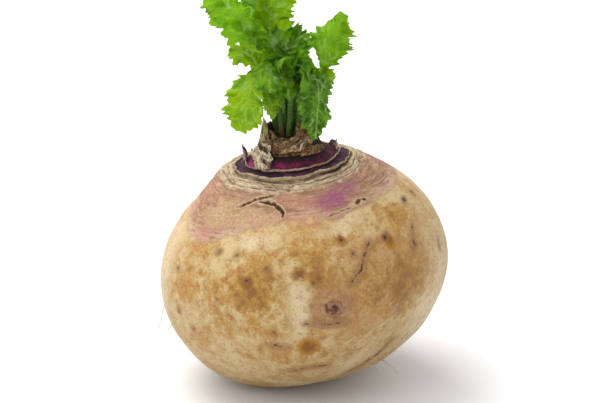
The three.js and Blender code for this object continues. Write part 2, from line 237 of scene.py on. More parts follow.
# turn, rise, height and reach of each gentle swelling
swellings = [
    (205, -53, 0.9, 22), (280, -62, -0.9, 26), (350, 38, -0.7, 24), (0, 5, 0.9, 32),
    (185, 10, 0.5, 30), (60, -5, 0.7, 30), (130, -25, -0.8, 28), (270, 5, 0.5, 32),
]
stalkRadius, stalkGap, clearance = 0.92, 0.48, 0.35
knot = dict(turn=-78.5, rise=3.5, height=0.9, foldDepth=0.6)
tail = dict(turn=6, rise=-55, length=4.8, baseRadius=2.7, tipRadius=0.75)

half = np.array([root["width"], root["depth"], root["height"]]) / 2
leanSine, leanCosine = math.sin(math.radians(root["lean"])), math.cos(math.radians(root["lean"]))
standing = math.hypot(half[0] * leanSine, half[2] * leanCosine)
lowPointShift = (half[0] ** 2 - half[2] ** 2) * leanSine * leanCosine / standing
centre = np.array([lowPointShift, 0, standing - root["restCut"]])
bodyAxes = np.array([[leanCosine, 0, leanSine], [0, 1, 0], [-leanSine, 0, leanCosine]])
neckLean = math.radians(root["neckLean"])
neckAxes = np.array([
    [math.cos(neckLean), 0, math.sin(neckLean)], [0, 1, 0], [-math.sin(neckLean), 0, math.cos(neckLean)],
])


def bodyRadius(direction):
    # distance from the centre to the surface
    plain = 1 / np.linalg.norm(direction @ bodyAxes.T / half, axis=-1)
    for turn, rise, height, reach in swellings:
        angle = np.degrees(np.arccos(np.clip(direction @ aim(turn, rise), -1, 1)))
        plain = plain + height * hump(angle, 0, reach)
    return plain


def onBody(turn, rise):
    direction = aim(turn, rise)
    return centre + direction * bodyRadius(direction)[..., None]


def neckDirection(angle, turn):
    angle, turn = np.broadcast_arrays(angle, turn)
    aside = np.sin(angle)
    return np.stack([aside * np.cos(turn), aside * np.sin(turn), np.cos(angle)], axis=-1) @ neckAxes


def neckPoint(radius, turn, height):
    # by distance from the neck's axis, turn round it in radians and height along it
    across, back, up = np.broadcast_arrays(radius * np.cos(turn), radius * np.sin(turn), height)
    return centre + np.stack([across, back, up], axis=-1) @ neckAxes


def slopedPoint(radius, turn, height):
    return neckPoint(radius, turn, height - math.tan(math.radians(root["neckTilt"])) * radius * np.sin(turn))


def bodyHeightAt(radius, turn):
    height = half[2] + 0 * turn
    for step in range(12):
        angle = np.arctan2(radius, height)
        height = bodyRadius(neckDirection(angle, turn)) * np.cos(angle)
    return height


# The crown is laid out from its middle outwards, each size a step on from the one before.
crownSize = dict(
    cupGap=2, rimWall=1.1, waistStep=0.8, footStep=1.2, shelfWidth=5.2, bandWidth=3.2, collarWidth=2.8,
    collarEdge=0.6, outerLift=0.54, innerLift=1.6, footLift=2.7, waistLift=3.3, rimLift=4, cupDepth=4.4,
)
leafCount = len([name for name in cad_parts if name.startswith("leaf_")])
stalkCircle = (stalkRadius + stalkGap / 2) / math.sin(math.pi / (leafCount - 1))
cupRadius = stalkCircle + stalkRadius + crownSize["cupGap"]
rimRadius = cupRadius + crownSize["rimWall"]
waistRadius = rimRadius + crownSize["waistStep"]
footRadius = waistRadius + crownSize["footStep"]
innerRing = footRadius + crownSize["shelfWidth"]
outerRing = innerRing + crownSize["bandWidth"]
collarRadius = outerRing + crownSize["collarWidth"]
quarters = np.radians([0, 90, 180, 270])
collarHeight = bodyHeightAt(collarRadius, quarters).mean() + root["collarLift"]
collarTop = collarHeight + crownSize["collarEdge"]
outerLip = collarTop + crownSize["outerLift"]
innerLip = outerLip + crownSize["innerLift"]
footHeight = innerLip + crownSize["footLift"]
waistHeight = footHeight + crownSize["waistLift"]
rimHeight = waistHeight + crownSize["rimLift"]
cupFloor = rimHeight - crownSize["cupDepth"]

# Radius and height from the middle of the cup out to the collar's edge. `station` and `ring` count along this
# list: 3 is the rim, 6 the neck's foot, 9 the inner lip, 12 the outer lip and 15 the collar's edge.
crownOutline = np.array([
    [0.4, cupFloor],  # 0
    [cupRadius * 0.92, cupFloor],
    [cupRadius, rimHeight - 1.1],  # 2
    [rimRadius - 0.55, rimHeight],
    [rimRadius, rimHeight - 1.1],  # 4
    [waistRadius, waistHeight],
    [footRadius, footHeight],  # 6, the neck's foot
    [footRadius + 2.4, innerLip + 1.1],
    [innerRing - 0.7, innerLip - 0.3],  # 8, inside the inner lip
    [innerRing + 0.1, innerLip + 0.15],
    [innerRing - 0.3, innerLip - 1.1],  # 10, under it
    [outerRing - 0.7, outerLip - 0.2],
    [outerRing + 0.1, outerLip + 0.1],  # 12, the outer lip
    [outerRing - 0.3, outerLip - 1.1],
    [collarRadius - 1.1, collarTop],  # 14
    [collarRadius, collarHeight],
])

# Cracks in the skin: depth, half width and a route of (turn, rise).
cracks = [
    (0.55, 0.34, [(-134, 41.5), (-130.5, 43.5), (-126.5, 46), (-121.5, 48.5), (-114.5, 51.5), (-110, 52.5)]),
    (0.95, 0.55, [(-120, 47.5), (-117, 47), (-112.5, 47.7), (-107, 46), (-102.5, 44), (-101.5, 41)]),
    (0.3, 0.3, [(-59.5, 27), (-62, 25), (-64, 21), (-66.5, 17), (-69, 14), (-71.5, 12)]),
    (0.45, 0.34, [(-60.5, 44.2), (-56.5, 45), (-52.5, 45.2), (-49, 45.4)]),
    (0.25, 0.22, [(-32.5, 28), (-36.5, 24), (-37.5, 20)]),
    (0.2, 0.18, [(-17.5, 17.5), (-18.7, 14)]),
    (0.16, 0.16, [(-90, -2.5), (-83.5, -3), (-74, -3)]),
    (0.14, 0.14, [(-103, -13.5), (-95.5, -13.5)]),
    (0.2, 0.2, [(-95.5, -28), (-87, -26), (-78.5, -26)]),
    (0.3, 0.26, [(-48.5, -17.5), (-51, -22.5), (-54.5, -27.5), (-58.5, -32), (-63.5, -34.5), (-65.5, -38)]),
    (0.12, 0.16, [(-75.5, 40), (-68, 42), (-61.5, 43.5)]),
    (0.3, 0.25, [(62, 30), (66, 24), (64, 17), (69, 9)]),
    (0.35, 0.25, [(128, 40), (133, 37), (141, 38), (147, 35)]),
    (0.2, 0.2, [(150, -4), (160, -6), (171, -4)]),
    (0.25, 0.2, [(20, -8), (25, -15), (24, -24)]),
]

# Small dark pits: turn, rise and radius.
pits = [
    (-130.7, 21.5, 0.38), (-121, 21.5, 0.49), (-153, 8.5, 0.52), (-105.5, 17.7, 0.45),
    (-101.7, -7.5, 0.45), (-140, -13, 0.38), (-149, -7.5, 0.38), (-68.6, 23.6, 0.45), (-51, 27.2, 0.79),
    (-24.5, 38.2, 0.71), (-12, 38, 0.52), (-91.8, 16.5, 0.6), (-113, 12, 0.6), (-72.8, 29.6, 0.68),
    (-84, 15, 0.3), (-86, 13, 0.3), (35, 20, 0.6), (78, 35, 0.45), (95, 5, 0.68), (118, 22, 0.45),
    (160, 20, 0.52), (175, -8, 0.38), (55, -12, 0.45),
]

# Round brown spots with soft edges: turn, rise and radius.
discs = [
    (-88, -13.5, 3.5), (-72.8, 29.6, 1.6), (-65, 14.5, 1.2), (-49.5, 24.5, 2), (140, 12, 2.4), (70, -20, 1.8),
]

# Stains and tints, with some painted light among the pale marks: turn, rise, half width, half height, tilt
# and strength.
stains = dict(
    ochre=[
        (-112, 10, 30, 14, 0, 0.42), (-109, 16, 6, 5, 0, 0.35), (-110.5, 5, 8, 4.5, 0, 0.6),
        (-88, 24, 7, 6.5, 0, 0.6), (-83.5, 14, 5, 3, 0, 0.5), (-143, 10, 7, 9, 0, 0.25),
        (-113, 12, 2.4, 1.8, 0, 1), (-91.8, 16.5, 2, 1.6, 0, 0.5), (-69, 5.5, 7, 5, 0, 0.4),
        (-49, 8, 7.5, 6.5, 0, 1.15), (-82, 3, 7, 4.6, 0, 0.5), (-68, 6, 9, 6, 0, 0.4),
        (-35, 10, 5, 14, 0, 0.4), (-45, 2, 9, 6, 0, 0.4), (-88, -13.5, 4, 4, 0, 0.5),
        (-114, -20, 3, 2, 0, 0.35), (-39.5, 36, 6, 2.6, 0, 0.7), (-42, 25, 7, 8, 0, 0.5),
        (-58, 20, 8, 6, 0, 0.3), (-72.8, 29.6, 2, 2, 0, 0.5), (-56, 26, 2.4, 1, 15, 0.8),
        (-95, -5, 40, 20, 0, 0.12), (-51, 53, 2, 1.6, 0, 0.9), (100, 5, 40, 20, 0, 0.38),
        (30, 15, 8, 5, 20, 0.5), (150, -10, 9, 6, 0, 0.5), (80, -15, 10, 6, 0, 0.4),
    ],
    pale=[
        # the broad marks at turns -168, -22 and -33.5 are painted rim light along the body's sides, and the
        # slanting streak at (-157, 40) is a painted highlight; the rest are real pale patches
        (-116, 28, 5, 2.4, 10, 0.9), (-70, 37, 6, 3.4, 15, 0.9), (-92, 3.5, 4.4, 8.5, 0, 1),
        (-168, 5, 9, 30, 0, 0.8), (-22, 0, 9, 34, 0, 0.6), (-33.5, -12, 10, 11, 0, 0.7),
        (-95, 33, 12, 1.6, 8, 0.5), (-157, 40, 4, 1.6, 45, 0.9), (-80, -32, 16, 6, 0, 0.4),
        (-130, -20, 10, 8, 0, 0.3), (-60, -20, 12, 5, 40, 0.4),
    ],
    violet=[
        (-75, 46, 4.6, 3.6, 0, 1), (-66, 50, 5, 4, 10, 1), (-54, 54.5, 5, 3, 10, 1),
        (-33, 53, 4, 1.6, -20, 0.5), (20, 52, 9, 4, 0, 0.7), (90, 50, 10, 5, 0, 0.8), (150, 46, 9, 5, 0, 0.6),
    ],
    rose=[
        (-145, 25.5, 4.4, 3.2, 0, 0.7), (-168, 47, 5, 4, 0, 0.6), (-95, 47, 6.5, 4, 0, 0.4),
        (-85, 47, 5, 4, 0, 0.4), (-100, 40, 16, 2.4, 6, 0.6), (60, 42, 18, 5, 0, 0.6),
        (120, 36, 18, 6, 0, 0.6), (-172, 30, 5, 9, 0, 0.4), (-42, 25, 5, 5, 0, 0.2),
        (-69, 5.5, 7, 6, 0, 0.2),
    ],
    tan=[
        (-55, 14, 14, 12, 0, 1.1), (-64, 2, 7, 6, 0, 0.7), (-70, -8, 8, 3.5, 0, 0.6), (-30, 20, 7, 9, 0, 0.5),
        (-47, 6, 6, 5, 0, 0.9), (-75, 22, 6, 4, 0, 0.4), (70, 10, 20, 12, 0, 0.6), (160, 12, 12, 10, 0, 0.5),
    ],
    cork=[
        (-127, 38, 12, 5, 0, 1), (-113, 40, 7, 3.6, 0, 0.5), (-118, 43.5, 3, 2.2, 0, -0.5),
        (-51, 52, 2, 2, 0, 0.6), (-146, 36, 7, 5, 0, 0.7), (-45, 46, 8, 3, 0, 0.4),
    ],
)


stainReach = 42  # about the body's radius, which turns a stain's angles into millimetres


def stainAt(direction, marks):
    # sums soft ellipses that lie on the body
    total = np.zeros(direction.shape[:-1])
    for turn, rise, wide, high, tilt, strength in marks:
        middle = aim(turn, rise)
        level = unit(np.cross([0, 0, 1], middle))
        upward = np.cross(middle, level)
        sine, cosine = math.sin(math.radians(tilt)), math.cos(math.radians(tilt))
        x, y = stainReach * (direction @ level), stainReach * (direction @ upward)
        far = ((x * cosine + y * sine) / wide) ** 2 + ((y * cosine - x * sine) / high) ** 2
        total += np.where(direction @ middle > 0, strength * np.exp(-far), 0)
    return total


def crackAt(points):
    # distance to the nearest crack less its half width, and the depth of all cracks there
    near = np.full(points.shape[:-1], 9.0)
    deep = np.zeros(points.shape[:-1])
    rough = grain(points, 1.5, 27, 2)
    for depth, width, route in cracks:
        stops = onBody(*np.array(route).T)
        away = np.full(near.shape, 9.0)
        for step, (start, end) in enumerate(zip(stops[:-1], stops[1:])):
            share = np.clip((points - start) @ (end - start) / ((end - start) @ (end - start)), 0, 1)
            done = (step + share) / (len(stops) - 1)  # along the whole crack, which thins out at both ends
            thin = width * np.clip(2.2 * np.sqrt(np.clip(done * (1 - done), 0, 1)) + 0.1, 0, 1)
            middle = start + share[..., None] * (end - start)
            away = np.minimum(away, np.linalg.norm(points - middle, axis=-1) - thin)
        away = away + width * 0.9 * np.clip(rough, -0.2, 1)
        near = np.minimum(near, away)
        deep = np.maximum(deep, depth * (1 - smooth(away, -width, 0.25)))
    return near, deep


def nearest(points, marks):
    # distance to the edge of the nearest round mark
    near = np.full(points.shape[:-1], 9.0)
    for turn, rise, radius in marks:
        near = np.minimum(near, np.linalg.norm(points - onBody(turn, rise), axis=-1) - radius)
    return near


def buildRoot():
    front = lambda turn: 1 + 1.5 * smooth(np.abs(turn + 90), 95, 60) + 1.2 * hump(turn, 6, 9)
    turn = np.radians(spread(-180, 180, root["columns"] + 1, front)[:-1])

    # the crown: each station of the outline wanders a little as it goes round
    station = np.arange(len(crownOutline))[:, None]
    radius = crownOutline[:, :1] + 0 * turn
    height = crownOutline[:, 1:] + 0 * turn
    ringWander = hump(station, 9, 1.4) * (wobble(turn, 1.7, 1) + 0.5 * wobble(turn, 5, 12))
    ringWander += hump(station, 12, 1.4) * (1.2 * wobble(turn, 1.9, 2) + 0.7 * wobble(turn, 6, 13))
    ringLift = hump(station, 9, 1.4) * wobble(turn, 2.3, 3) + hump(station, 12.3, 1.4) * wobble(turn, 2.6, 4)
    radius += 0.95 * ringWander + 0.5 * hump(station, 14.5, 1) * wobble(turn, 2.5, 5)
    height += 0.65 * ringLift
    wall = smooth(station, 1, 3) * (1 - smooth(station, 6.5, 8))
    radius += wall * (0.35 * wobble(turn, 3.2, 6) + 0.25 * wobble(turn, 8, 7))
    height += hump(station, 3, 1.2) * (0.8 * wobble(turn, 4, 8) - 4.4 * hump(np.degrees(turn), -94, 38))
    height += 0.5 * hump(station, 13.6, 1.2) * wobble(turn, 3, 9)
    dip = root["frontDip"] * np.maximum(0, -np.sin(turn))
    height -= dip * smooth(station, 6, 8) * (1 - 0.6 * hump(station, 12, 1.5))

    lips = lambda at: 1.2 * hump(at, 9.3, 1.2) + 1.4 * hump(at, 12.5, 1.4)
    fine = lambda at: 1 + lips(at) + 0.5 * hump(at, 15, 1) - 0.6 * hump(at, 0.5, 1)
    ring = spread(0, len(crownOutline) - 1, root["crownRows"], fine)
    between = lambda values: np.stack([np.interp(ring, station[:, 0], column) for column in values.T], axis=1)
    slope = np.where(ring < 11, 1.0, np.clip(13 - ring, 0, 2) / 2)[:, None]
    slope = slope * math.tan(math.radians(root["neckTilt"]))
    level = between(height) - slope * between(radius) * np.sin(turn)
    crown = neckPoint(between(radius), turn, level)

    # the body, from just outside the collar down to its underside
    first = math.atan2(collarRadius * 1.03, collarHeight)
    near = lambda angle: 1 + 1.6 * smooth(angle, 2.35, 2.0) + 0.5 * hump(angle, 0.95, 0.3)
    angle = spread(first, math.pi * 0.985, root["bodyRows"], near)[:, None]
    direction = neckDirection(angle, turn[None, :])
    reach = bodyRadius(direction)
    out = reach * np.sin(angle)
    fading = 1 - smooth(out, collarRadius, collarRadius + root["fadeWidth"])
    raised = (collarHeight - dip - bodyHeightAt(collarRadius, turn)) * fading
    body = neckPoint(out, turn, reach * np.cos(angle) + np.where(angle < math.pi / 2, raised, 0))

    rows = np.concatenate([crown, body])
    outside = np.where(angle < math.pi / 2, (out - collarRadius) / 2, 40)
    ring = np.concatenate([ring[:, None] + 0 * turn, ring[-1] + np.minimum(outside, 40)])
    onSkin = smooth(ring, 14.3, 15.2)
    gaps = np.linalg.norm(np.diff(rows, axis=0), axis=-1).mean(axis=1)
    arc = np.concatenate([[0], np.cumsum(gaps)])[:, None] + 0 * turn  # how far down the skin a row is

    # the edge between the tinted shoulder and the pale body
    bearing = (np.degrees(turn) - root["beltTurn"] + 180) % 360 - 180
    edge = root["beltEdge"] + root["beltDrop"] * hump(bearing, 0, 30) + 2.2 * wobble(turn, 2, 11)
    upright = np.degrees(np.arccos(np.clip(unit(rows - centre) @ neckAxes[2], -1, 1)))
    belt = (edge - upright) * 0.72

    # relief, along the surface's own direction
    facing = unit(rows - centre)
    plain = centre + facing * bodyRadius(facing)[..., None]  # where the marks were laid out
    warped = plain + 0.55 * np.stack([grain(rows, 2.2, seed, 3) for seed in (21, 22, 23)], axis=-1)
    crack, depth = crackAt(warped)
    pit = nearest(warped, pits)
    disc = nearest(warped, discs)
    stray = np.stack([grain(rows, 7, seed, 3) for seed in (24, 25, 26)], axis=-1)
    strayed = unit(plain - centre + 2.6 * stray)
    banded = np.stack([rows[..., 0] / 9, rows[..., 1] / 9, arc / 1.1], axis=-1)
    shoulder = smooth(belt, -1, 2) * onSkin
    cork = stainAt(strayed, stains["cork"])
    relief = 0.3 * grain(rows, 13, 31) + 0.1 * grain(rows, 4.5, 32, 2) + 0.03 * grain(rows, 1.4, 33, 2)
    relief = relief * onSkin
    relief += shoulder * (0.07 * grain(banded, 1, 34, 3) + 0.05 * grain(rows, 2.4, 35, 2))
    relief += np.clip(cork, 0, 1) * 0.13 * grain(rows, 1.5, 36, 3)
    relief += hump(ring, 14.8, 1.1) * (0.34 * grain(rows, 2.4, 37, 3) + 0.2 * grain(rows, 0.9, 38, 2))
    lumpy = hump(np.degrees(turn), -160, 30) + hump(np.degrees(turn), -22, 24)
    layered = np.sin(ring * 6 + 3.5 * wobble(turn, 1.5, 14) + 1.5 * grain(rows, 3, 44, 2))
    relief += smooth(ring, 13.8, 14.4) * (1 - smooth(ring, 16.2, 17.6)) * 0.3 * layered
    relief += hump(ring, 15.2, 1.2) * lumpy * (0.45 + 0.5 * grain(rows, 1.9, 41, 2))
    relief += smooth(ring, 2, 3.5) * (1 - smooth(ring, 6, 7)) * 0.28 * grain(rows * [1, 1, 0.35], 0.8, 39, 2)
    relief += smooth(ring, 8.5, 9.5) * (1 - smooth(ring, 13, 14)) * 0.12 * grain(rows, 1.1, 40, 2)
    relief -= onSkin * depth
    relief += onSkin * 0.14 * hump(crack, 0.65, 0.45) * (depth < 0.9)
    relief -= onSkin * 0.28 * (1 - smooth(pit, -0.5, 0.4))

    # the knot where a side root grew, with ridges round it
    away = plain - onBody(knot["turn"], knot["rise"])
    far = np.linalg.norm(away, axis=-1)
    spin = np.arctan2(away[..., 2], away[..., 0])
    curled = far * 0.95 + 0.32 * spin + 1.1 * grain(rows, 2, 42, 3)
    folds = hump(far, 0.4, 3.8) * smooth(np.sin(curled * 3), -0.2, 0.9) + 0.8 * hump(far, 0, 0.8)
    relief += knot["height"] * hump(far, 1.8, 2) + 0.3 * hump(far, 3, 3) * grain(rows, 1.3, 43, 3)
    relief -= knot["foldDepth"] * folds

    # the tail's stub
    tailAxis = aim(tail["turn"], tail["rise"])
    aside = np.linalg.norm(np.cross(rows - centre, tailAxis), axis=-1)
    ahead = (rows - centre) @ tailAxis > 0
    taper = np.clip((tail["baseRadius"] - aside) / (tail["baseRadius"] - 0.4 * tail["tipRadius"]), 0, 1)
    stub = np.where(ahead, tail["length"] * smooth(taper, 0, 1) ** 0.8, 0)

    rows = rows + normalsOf(rows) * relief[..., None] + tailAxis * stub[..., None]
    rows[..., 2] = np.maximum(rows[..., 2], 0)
    bottom = neckPoint(0, 0, -bodyRadius(-neckAxes[2]))
    bottom[2] = 0
    piece = closedLoft("turnipRoot", rows, neckPoint(0, 0, cupFloor), bottom)
    layers = {name: stainAt(strayed, marks) for name, marks in stains.items()}
    paint(piece, ring=ring, arc=arc, belt=belt, crack=crack, pit=pit, bearing=np.degrees(turn) + 0 * ring,
          tip=np.clip(stub / tail["length"], 0, 1), knot=far, folds=folds, layered=layered, disc=disc,
          **layers)
    return piece


skinTones = dict(
    flesh=(0.47, 0.35, 0.17), fleshTan=(0.37, 0.215, 0.06), wash=(0.38, 0.215, 0.075),
    bruise=(0.25, 0.13, 0.045),
    ochre=(0.36, 0.18, 0.02), brown=(0.15, 0.05, 0.004), pale=(0.56, 0.455, 0.28),
    freckle=(0.2, 0.095, 0.022),
    glint=(0.58, 0.47, 0.29), wrinkleLight=(0.58, 0.47, 0.3), wrinkleDark=(0.2, 0.1, 0.035),
    thread=(0.19, 0.085, 0.025), grit=(0.12, 0.045, 0.01), disc=(0.31, 0.135, 0.008),
    discCore=(0.17, 0.055, 0.003),
    shoulderDark=(0.17, 0.08, 0.032), shoulderTan=(0.38, 0.235, 0.125), shoulderRed=(0.28, 0.13, 0.085),
    shoulderEdge=(0.5, 0.345, 0.25), cork=(0.38, 0.25, 0.12), corkDark=(0.16, 0.075, 0.03),
    corkLight=(0.52, 0.39, 0.23), rose=(0.41, 0.175, 0.135), violet=(0.235, 0.06, 0.12),
    scurf=(0.52, 0.36, 0.24), scurfDark=(0.13, 0.055, 0.025),
    knotDisc=(0.29, 0.145, 0.075), knotFlake=(0.4, 0.25, 0.14), knot=(0.2, 0.09, 0.045),
    knotFold=(0.07, 0.028, 0.012),
    pitHalo=(0.16, 0.06, 0.009), pit=(0.035, 0.017, 0.006),
    crackHalo=(0.2, 0.085, 0.03), crackEdge=(0.5, 0.37, 0.24), crack=(0.055, 0.023, 0.009),
    collarDark=(0.28, 0.185, 0.095), collarLight=(0.54, 0.45, 0.31), collarSpot=(0.1, 0.055, 0.025),
    seam=(0.09, 0.045, 0.02), gap=(0.04, 0.02, 0.012), lip=(0.5, 0.36, 0.22), lipSpot=(0.07, 0.03, 0.02),
    bandDark=(0.013, 0.0012, 0.006), bandLight=(0.065, 0.012, 0.045),
    shelfDark=(0.028, 0.0006, 0.007), shelfLight=(0.11, 0.004, 0.034),
    shelfGlow=(0.22, 0.012, 0.075), shelfShade=(0.005, 0.001, 0.001),
    neckDark=(0.02, 0.008, 0.004), neckLight=(0.2, 0.12, 0.05), neckFoot=(0.008, 0.003, 0.002),
    cup=(0.012, 0.007, 0.004), tailTip=(0.08, 0.045, 0.02),
)


def skinFinish():
    tones = skinTones
    material, start = newFinish("turnipSkin")
    place = start.add("ShaderNodeTexCoord").out("Object")
    ring, belt, bearing, crack, pit = map(start.layer, ("ring", "belt", "bearing", "crack", "pit"))
    knotAway, folds, disc, layered, tip = map(start.layer, ("knot", "folds", "disc", "layered", "tip"))
    ochre, pale, violet, rose, tan, cork = map(start.layer, stains)

    cloud = mottle(place, 9, 4, 0.6, 1)
    patch = mottle(place, 3.2, 6, 0.62, 2, 0.4)
    speck = mottle(place, 0.8, 4, 0.65, 3)
    fleck = mottle(place, 1.8, 3, 0.6, 4)
    parts = start.add("ShaderNodeSeparateXYZ", {}, place)
    arc = start.layer("arc") * mm
    streakPlace = start.add("ShaderNodeCombineXYZ", {}, parts.out("X") * 0.16, parts.out("Y") * 0.16, arc)
    streak = mottle(streakPlace, 0.8, 4, 0.65, 5)
    cloudy, patchy, specky, flecky, streaky = (cover - 0.5 for cover in (cloud, patch, speck, fleck, streak))
    wander = mottle(place, 5, 4, 0.6, 6, 0.5)
    thread = 1 - (wander - 0.5).maths("ABSOLUTE").rise(0, 0.012)  # thin winding lines
    thread = thread * mottle(place, 4, 2, 0.5, 7).rise(0.52, 0.64)

    # wrinkles that run slantwise down the lower right, and scattered dark grains
    slant = start.add("ShaderNodeMapping", {"vector_type": "TEXTURE"}, place,
                      Rotation=(0, -0.65, 0), Scale=(5, 2, 1))
    wrinkle = mottle(slant, 1.1, 3, 0.6, 14)
    slanted = parts.out("X").rise(0.0, 0.03) * parts.out("Z").rise(0.05, 0.02)
    cells = start.add("ShaderNodeTexVoronoi", {}, Vector=place, Scale=1 / (1.7 * mm))
    chance = start.add("ShaderNodeSeparateXYZ", {}, cells.out("Color")).out("X")
    grit = (cells.out("Distance") + specky * 0.5).rise(0.2, 0.08) * chance.rise(0.6, 0.65)

    # pale flesh-coloured body, tan clouds, ochre stains and round spots; the pale coat is partly real pale
    # patches and partly painted rim light and highlight
    light = (pale + patchy * 1.8).rise(0.25, 1.0)
    stained = (ochre * (1 - light * 0.7) + patchy * 3.2 + cloudy * 1.8).rise(0.05, 1.0)
    deep = (ochre * (1 - light) + patchy * 3.2 + flecky * 1.6).rise(0.45, 1.7)
    washed = (tan * (1 - light * 0.6) + patchy * 1.1 + cloudy * 0.8).rise(0.1, 0.85)
    colour = (cloud * 0.6 + patch * 0.4).rise(0.4, 0.6).between(tones["flesh"], tones["fleshTan"])
    colour = colour.coats(
        tones,
        wash=washed * 0.8,
        bruise=(tan + patchy * 1.5 + flecky * 0.6).rise(1.2, 2.0) * 0.7,
        ochre=stained * (0.85 - washed * 0.3),
        brown=deep * (0.75 - washed * 0.2),
        pale=light * 0.8,
        freckle=(speck + fleck * 0.5).rise(0.78, 0.95) * 0.6,
        glint=(1 - speck).rise(0.5, 0.7) * (1 - deep) * 0.4,
        # the two wrinkle coats are painted highlight on the wrinkles' crests and painted shade in their
        # troughs
        wrinkleLight=slanted * wrinkle.rise(0.52, 0.68) * 0.6,
        wrinkleDark=(slanted + 0.25) * wrinkle.rise(0.45, 0.32) * 0.5,
        thread=thread * 0.65,
        grit=grit * (stained * 0.6 + 0.25),
        disc=(disc + flecky * 1.4 + patchy * 1.6).rise(0.5, -0.6) * 0.9,
        discCore=(disc + patchy * 4).rise(-0.9, -2.2) * 0.8,
    )

    # the tinted shoulder
    shoulder = (belt + patchy * 8 + specky * 2).rise(-1.6, 1.8)
    edgeGlow = shoulder * (1 - (belt + patchy * 5).rise(0.8, 5))
    corky = (cork + patchy * 1.8).rise(0.2, 0.9)
    tinted = (streak * 0.7 + speck * 0.3).rise(0.4, 0.62).between(tones["shoulderDark"], tones["shoulderTan"])
    tinted = tinted.coats(
        tones,
        shoulderRed=(cloud * 0.5 + patch * 0.5).rise(0.44, 0.6) * 0.5,
        shoulderEdge=edgeGlow * (patch + streak - 1).rise(-0.2, 0.1) * 0.75,
        cork=corky * 0.8,
        corkDark=corky * (streak * 0.5 + speck * 0.5).rise(0.5, 0.62) * 0.75,
        corkLight=corky * (1 - speck).rise(0.52, 0.64) * 0.6,
    )
    colour = colour.tint(tinted, shoulder).coats(
        tones,
        rose=(rose + patchy * 1.8 + streaky * 0.8).rise(0.0, 1.2) * 0.65,
        violet=(violet + patchy * 2 + streaky * 1.8).rise(-0.1, 1.8),
        scurf=shoulder * (speck * 0.5 + streak * 0.5).rise(0.54, 0.66) * 0.55,
        scurfDark=shoulder * (thread * 0.75).over(grit * 0.4),
    )

    # knot, pits and cracks
    core = (pit + specky * 3 + flecky * 1.2).rise(0.0, -0.4)
    # torn marks the cracks' raised lips, and the lighter coat there is a painted highlight
    torn = (crack + specky * 1.2).rise(1.0, 0.5) * (crack + flecky).rise(0.1, 0.35)
    split = (crack + specky * 1.2 + flecky * 0.8).rise(0.12, -0.14)
    colour = colour.coats(
        tones,
        knotDisc=(knotAway + patchy * 14).rise(8.5, 4.0) * 0.65,
        knotFlake=(knotAway + flecky * 6).rise(4.5, 2.5) * (1 - speck).rise(0.4, 0.65) * 0.7,
        knot=(knotAway + flecky * 5).rise(3.4, 1.2) * 0.7,
        # darker in the knot's sunken folds: painted shade
        knotFold=(folds + specky * 0.9).rise(0.25, 0.9) * 0.85,
        pitHalo=(pit + patchy * 6 + specky * 2).rise(1.8, -0.2) * 0.75,
        pit=core * 0.9,
        crackHalo=(crack + patchy * 4).rise(2.2, 0.1) * 0.65,
        crackEdge=torn * (shoulder * 0.5 + 0.08),
        crack=split * 0.88,
    )

    # the crown's own tones
    shade = mottle(place, 2.2, 3, 0.6, 8)
    fibre = mottle(stretched(place, 1, 1, 0.25), 0.7, 3, 0.6, 9)
    corkTone = (streak * 0.6 + speck * 0.4).rise(0.4, 0.6).between(tones["collarDark"], tones["collarLight"])
    corkTone = corkTone.coats(tones, collarSpot=(patch * 0.5 + speck * 0.5).rise(0.51, 0.6) * 0.75)
    # darker in the troughs between the collar's ridges: painted shade
    seam = (layered + specky * 1.5 + patchy * 2.5).rise(-0.35, -1.1)
    lipTone = corkTone.coats(tones, lip=0.35, lipSpot=(fleck * 0.6 + speck * 0.4).rise(0.52, 0.62) * 0.7)
    bandTone = shade.rise(0.42, 0.66).between(tones["bandDark"], tones["bandLight"])
    # the brighter magenta on the shelf's front left, picked by glow, is a painted highlight
    glow = bearing.rise(-80, -120) * (1 - bearing.rise(-160, -175))
    shelfTone = shade.rise(0.4, 0.66).between(tones["shelfDark"], tones["shelfLight"]).coats(
        tones,
        shelfGlow=glow * (shade + streak - 1).rise(-0.3, 0.2) * 0.85,
        # near the neck's foot the shelf is painted darker: painted shadow under the neck
        shelfShade=(ring + (shade - 0.5) * 1.5).rise(7.7, 6.7) * 0.9,
    )
    neckTone = fibre.rise(0.38, 0.66).between(tones["neckDark"], tones["neckLight"])
    # the neck is painted darker towards its foot: painted shadow under the strands
    neckTone = neckTone.coats(tones, neckFoot=ring.rise(4.6, 6.0) * 0.9)

    # and where each lies, from the collar in to the cup
    shelf = (ring + specky * 0.4).rise(8.75, 8.45)
    neck = (ring + (fibre - 0.5) * 2).rise(6.9, 6.1)
    collar = (ring + patchy * 3 + streaky * 1.6).rise(16.7, 15.3)
    # the gap coat is painted shadow under the outer lip, patchy and stronger towards the right
    gap = (ring + specky * 1.6 + patchy * 3).rise(13.6, 13.0)
    colour = colour.tint(corkTone.coats(tones, seam=seam * 0.8), collar)
    colour = colour.coats(tones, gap=gap * (bearing.rise(-75, -40) * 0.35 + cloud.rise(0.4, 0.55) * 0.6))
    colour = colour.tint(lipTone, (ring + specky * 0.5).rise(12.6, 12.3))
    colour = colour.tint(bandTone, (ring + specky * 0.7).rise(11.8, 11.5))
    colour = colour.tint(lipTone, (ring + specky * 0.5).rise(9.75, 9.4))
    colour = colour.tint(shelfTone, shelf).tint(neckTone, neck)
    # cup darkens the hollow inside the rim, painted shade; tailTip is the tail's own dark tip
    colour = colour.coats(tones, cup=ring.rise(3.0, 2.0) * 0.9, tailTip=tip.rise(0.55, 0.9) * 0.85)

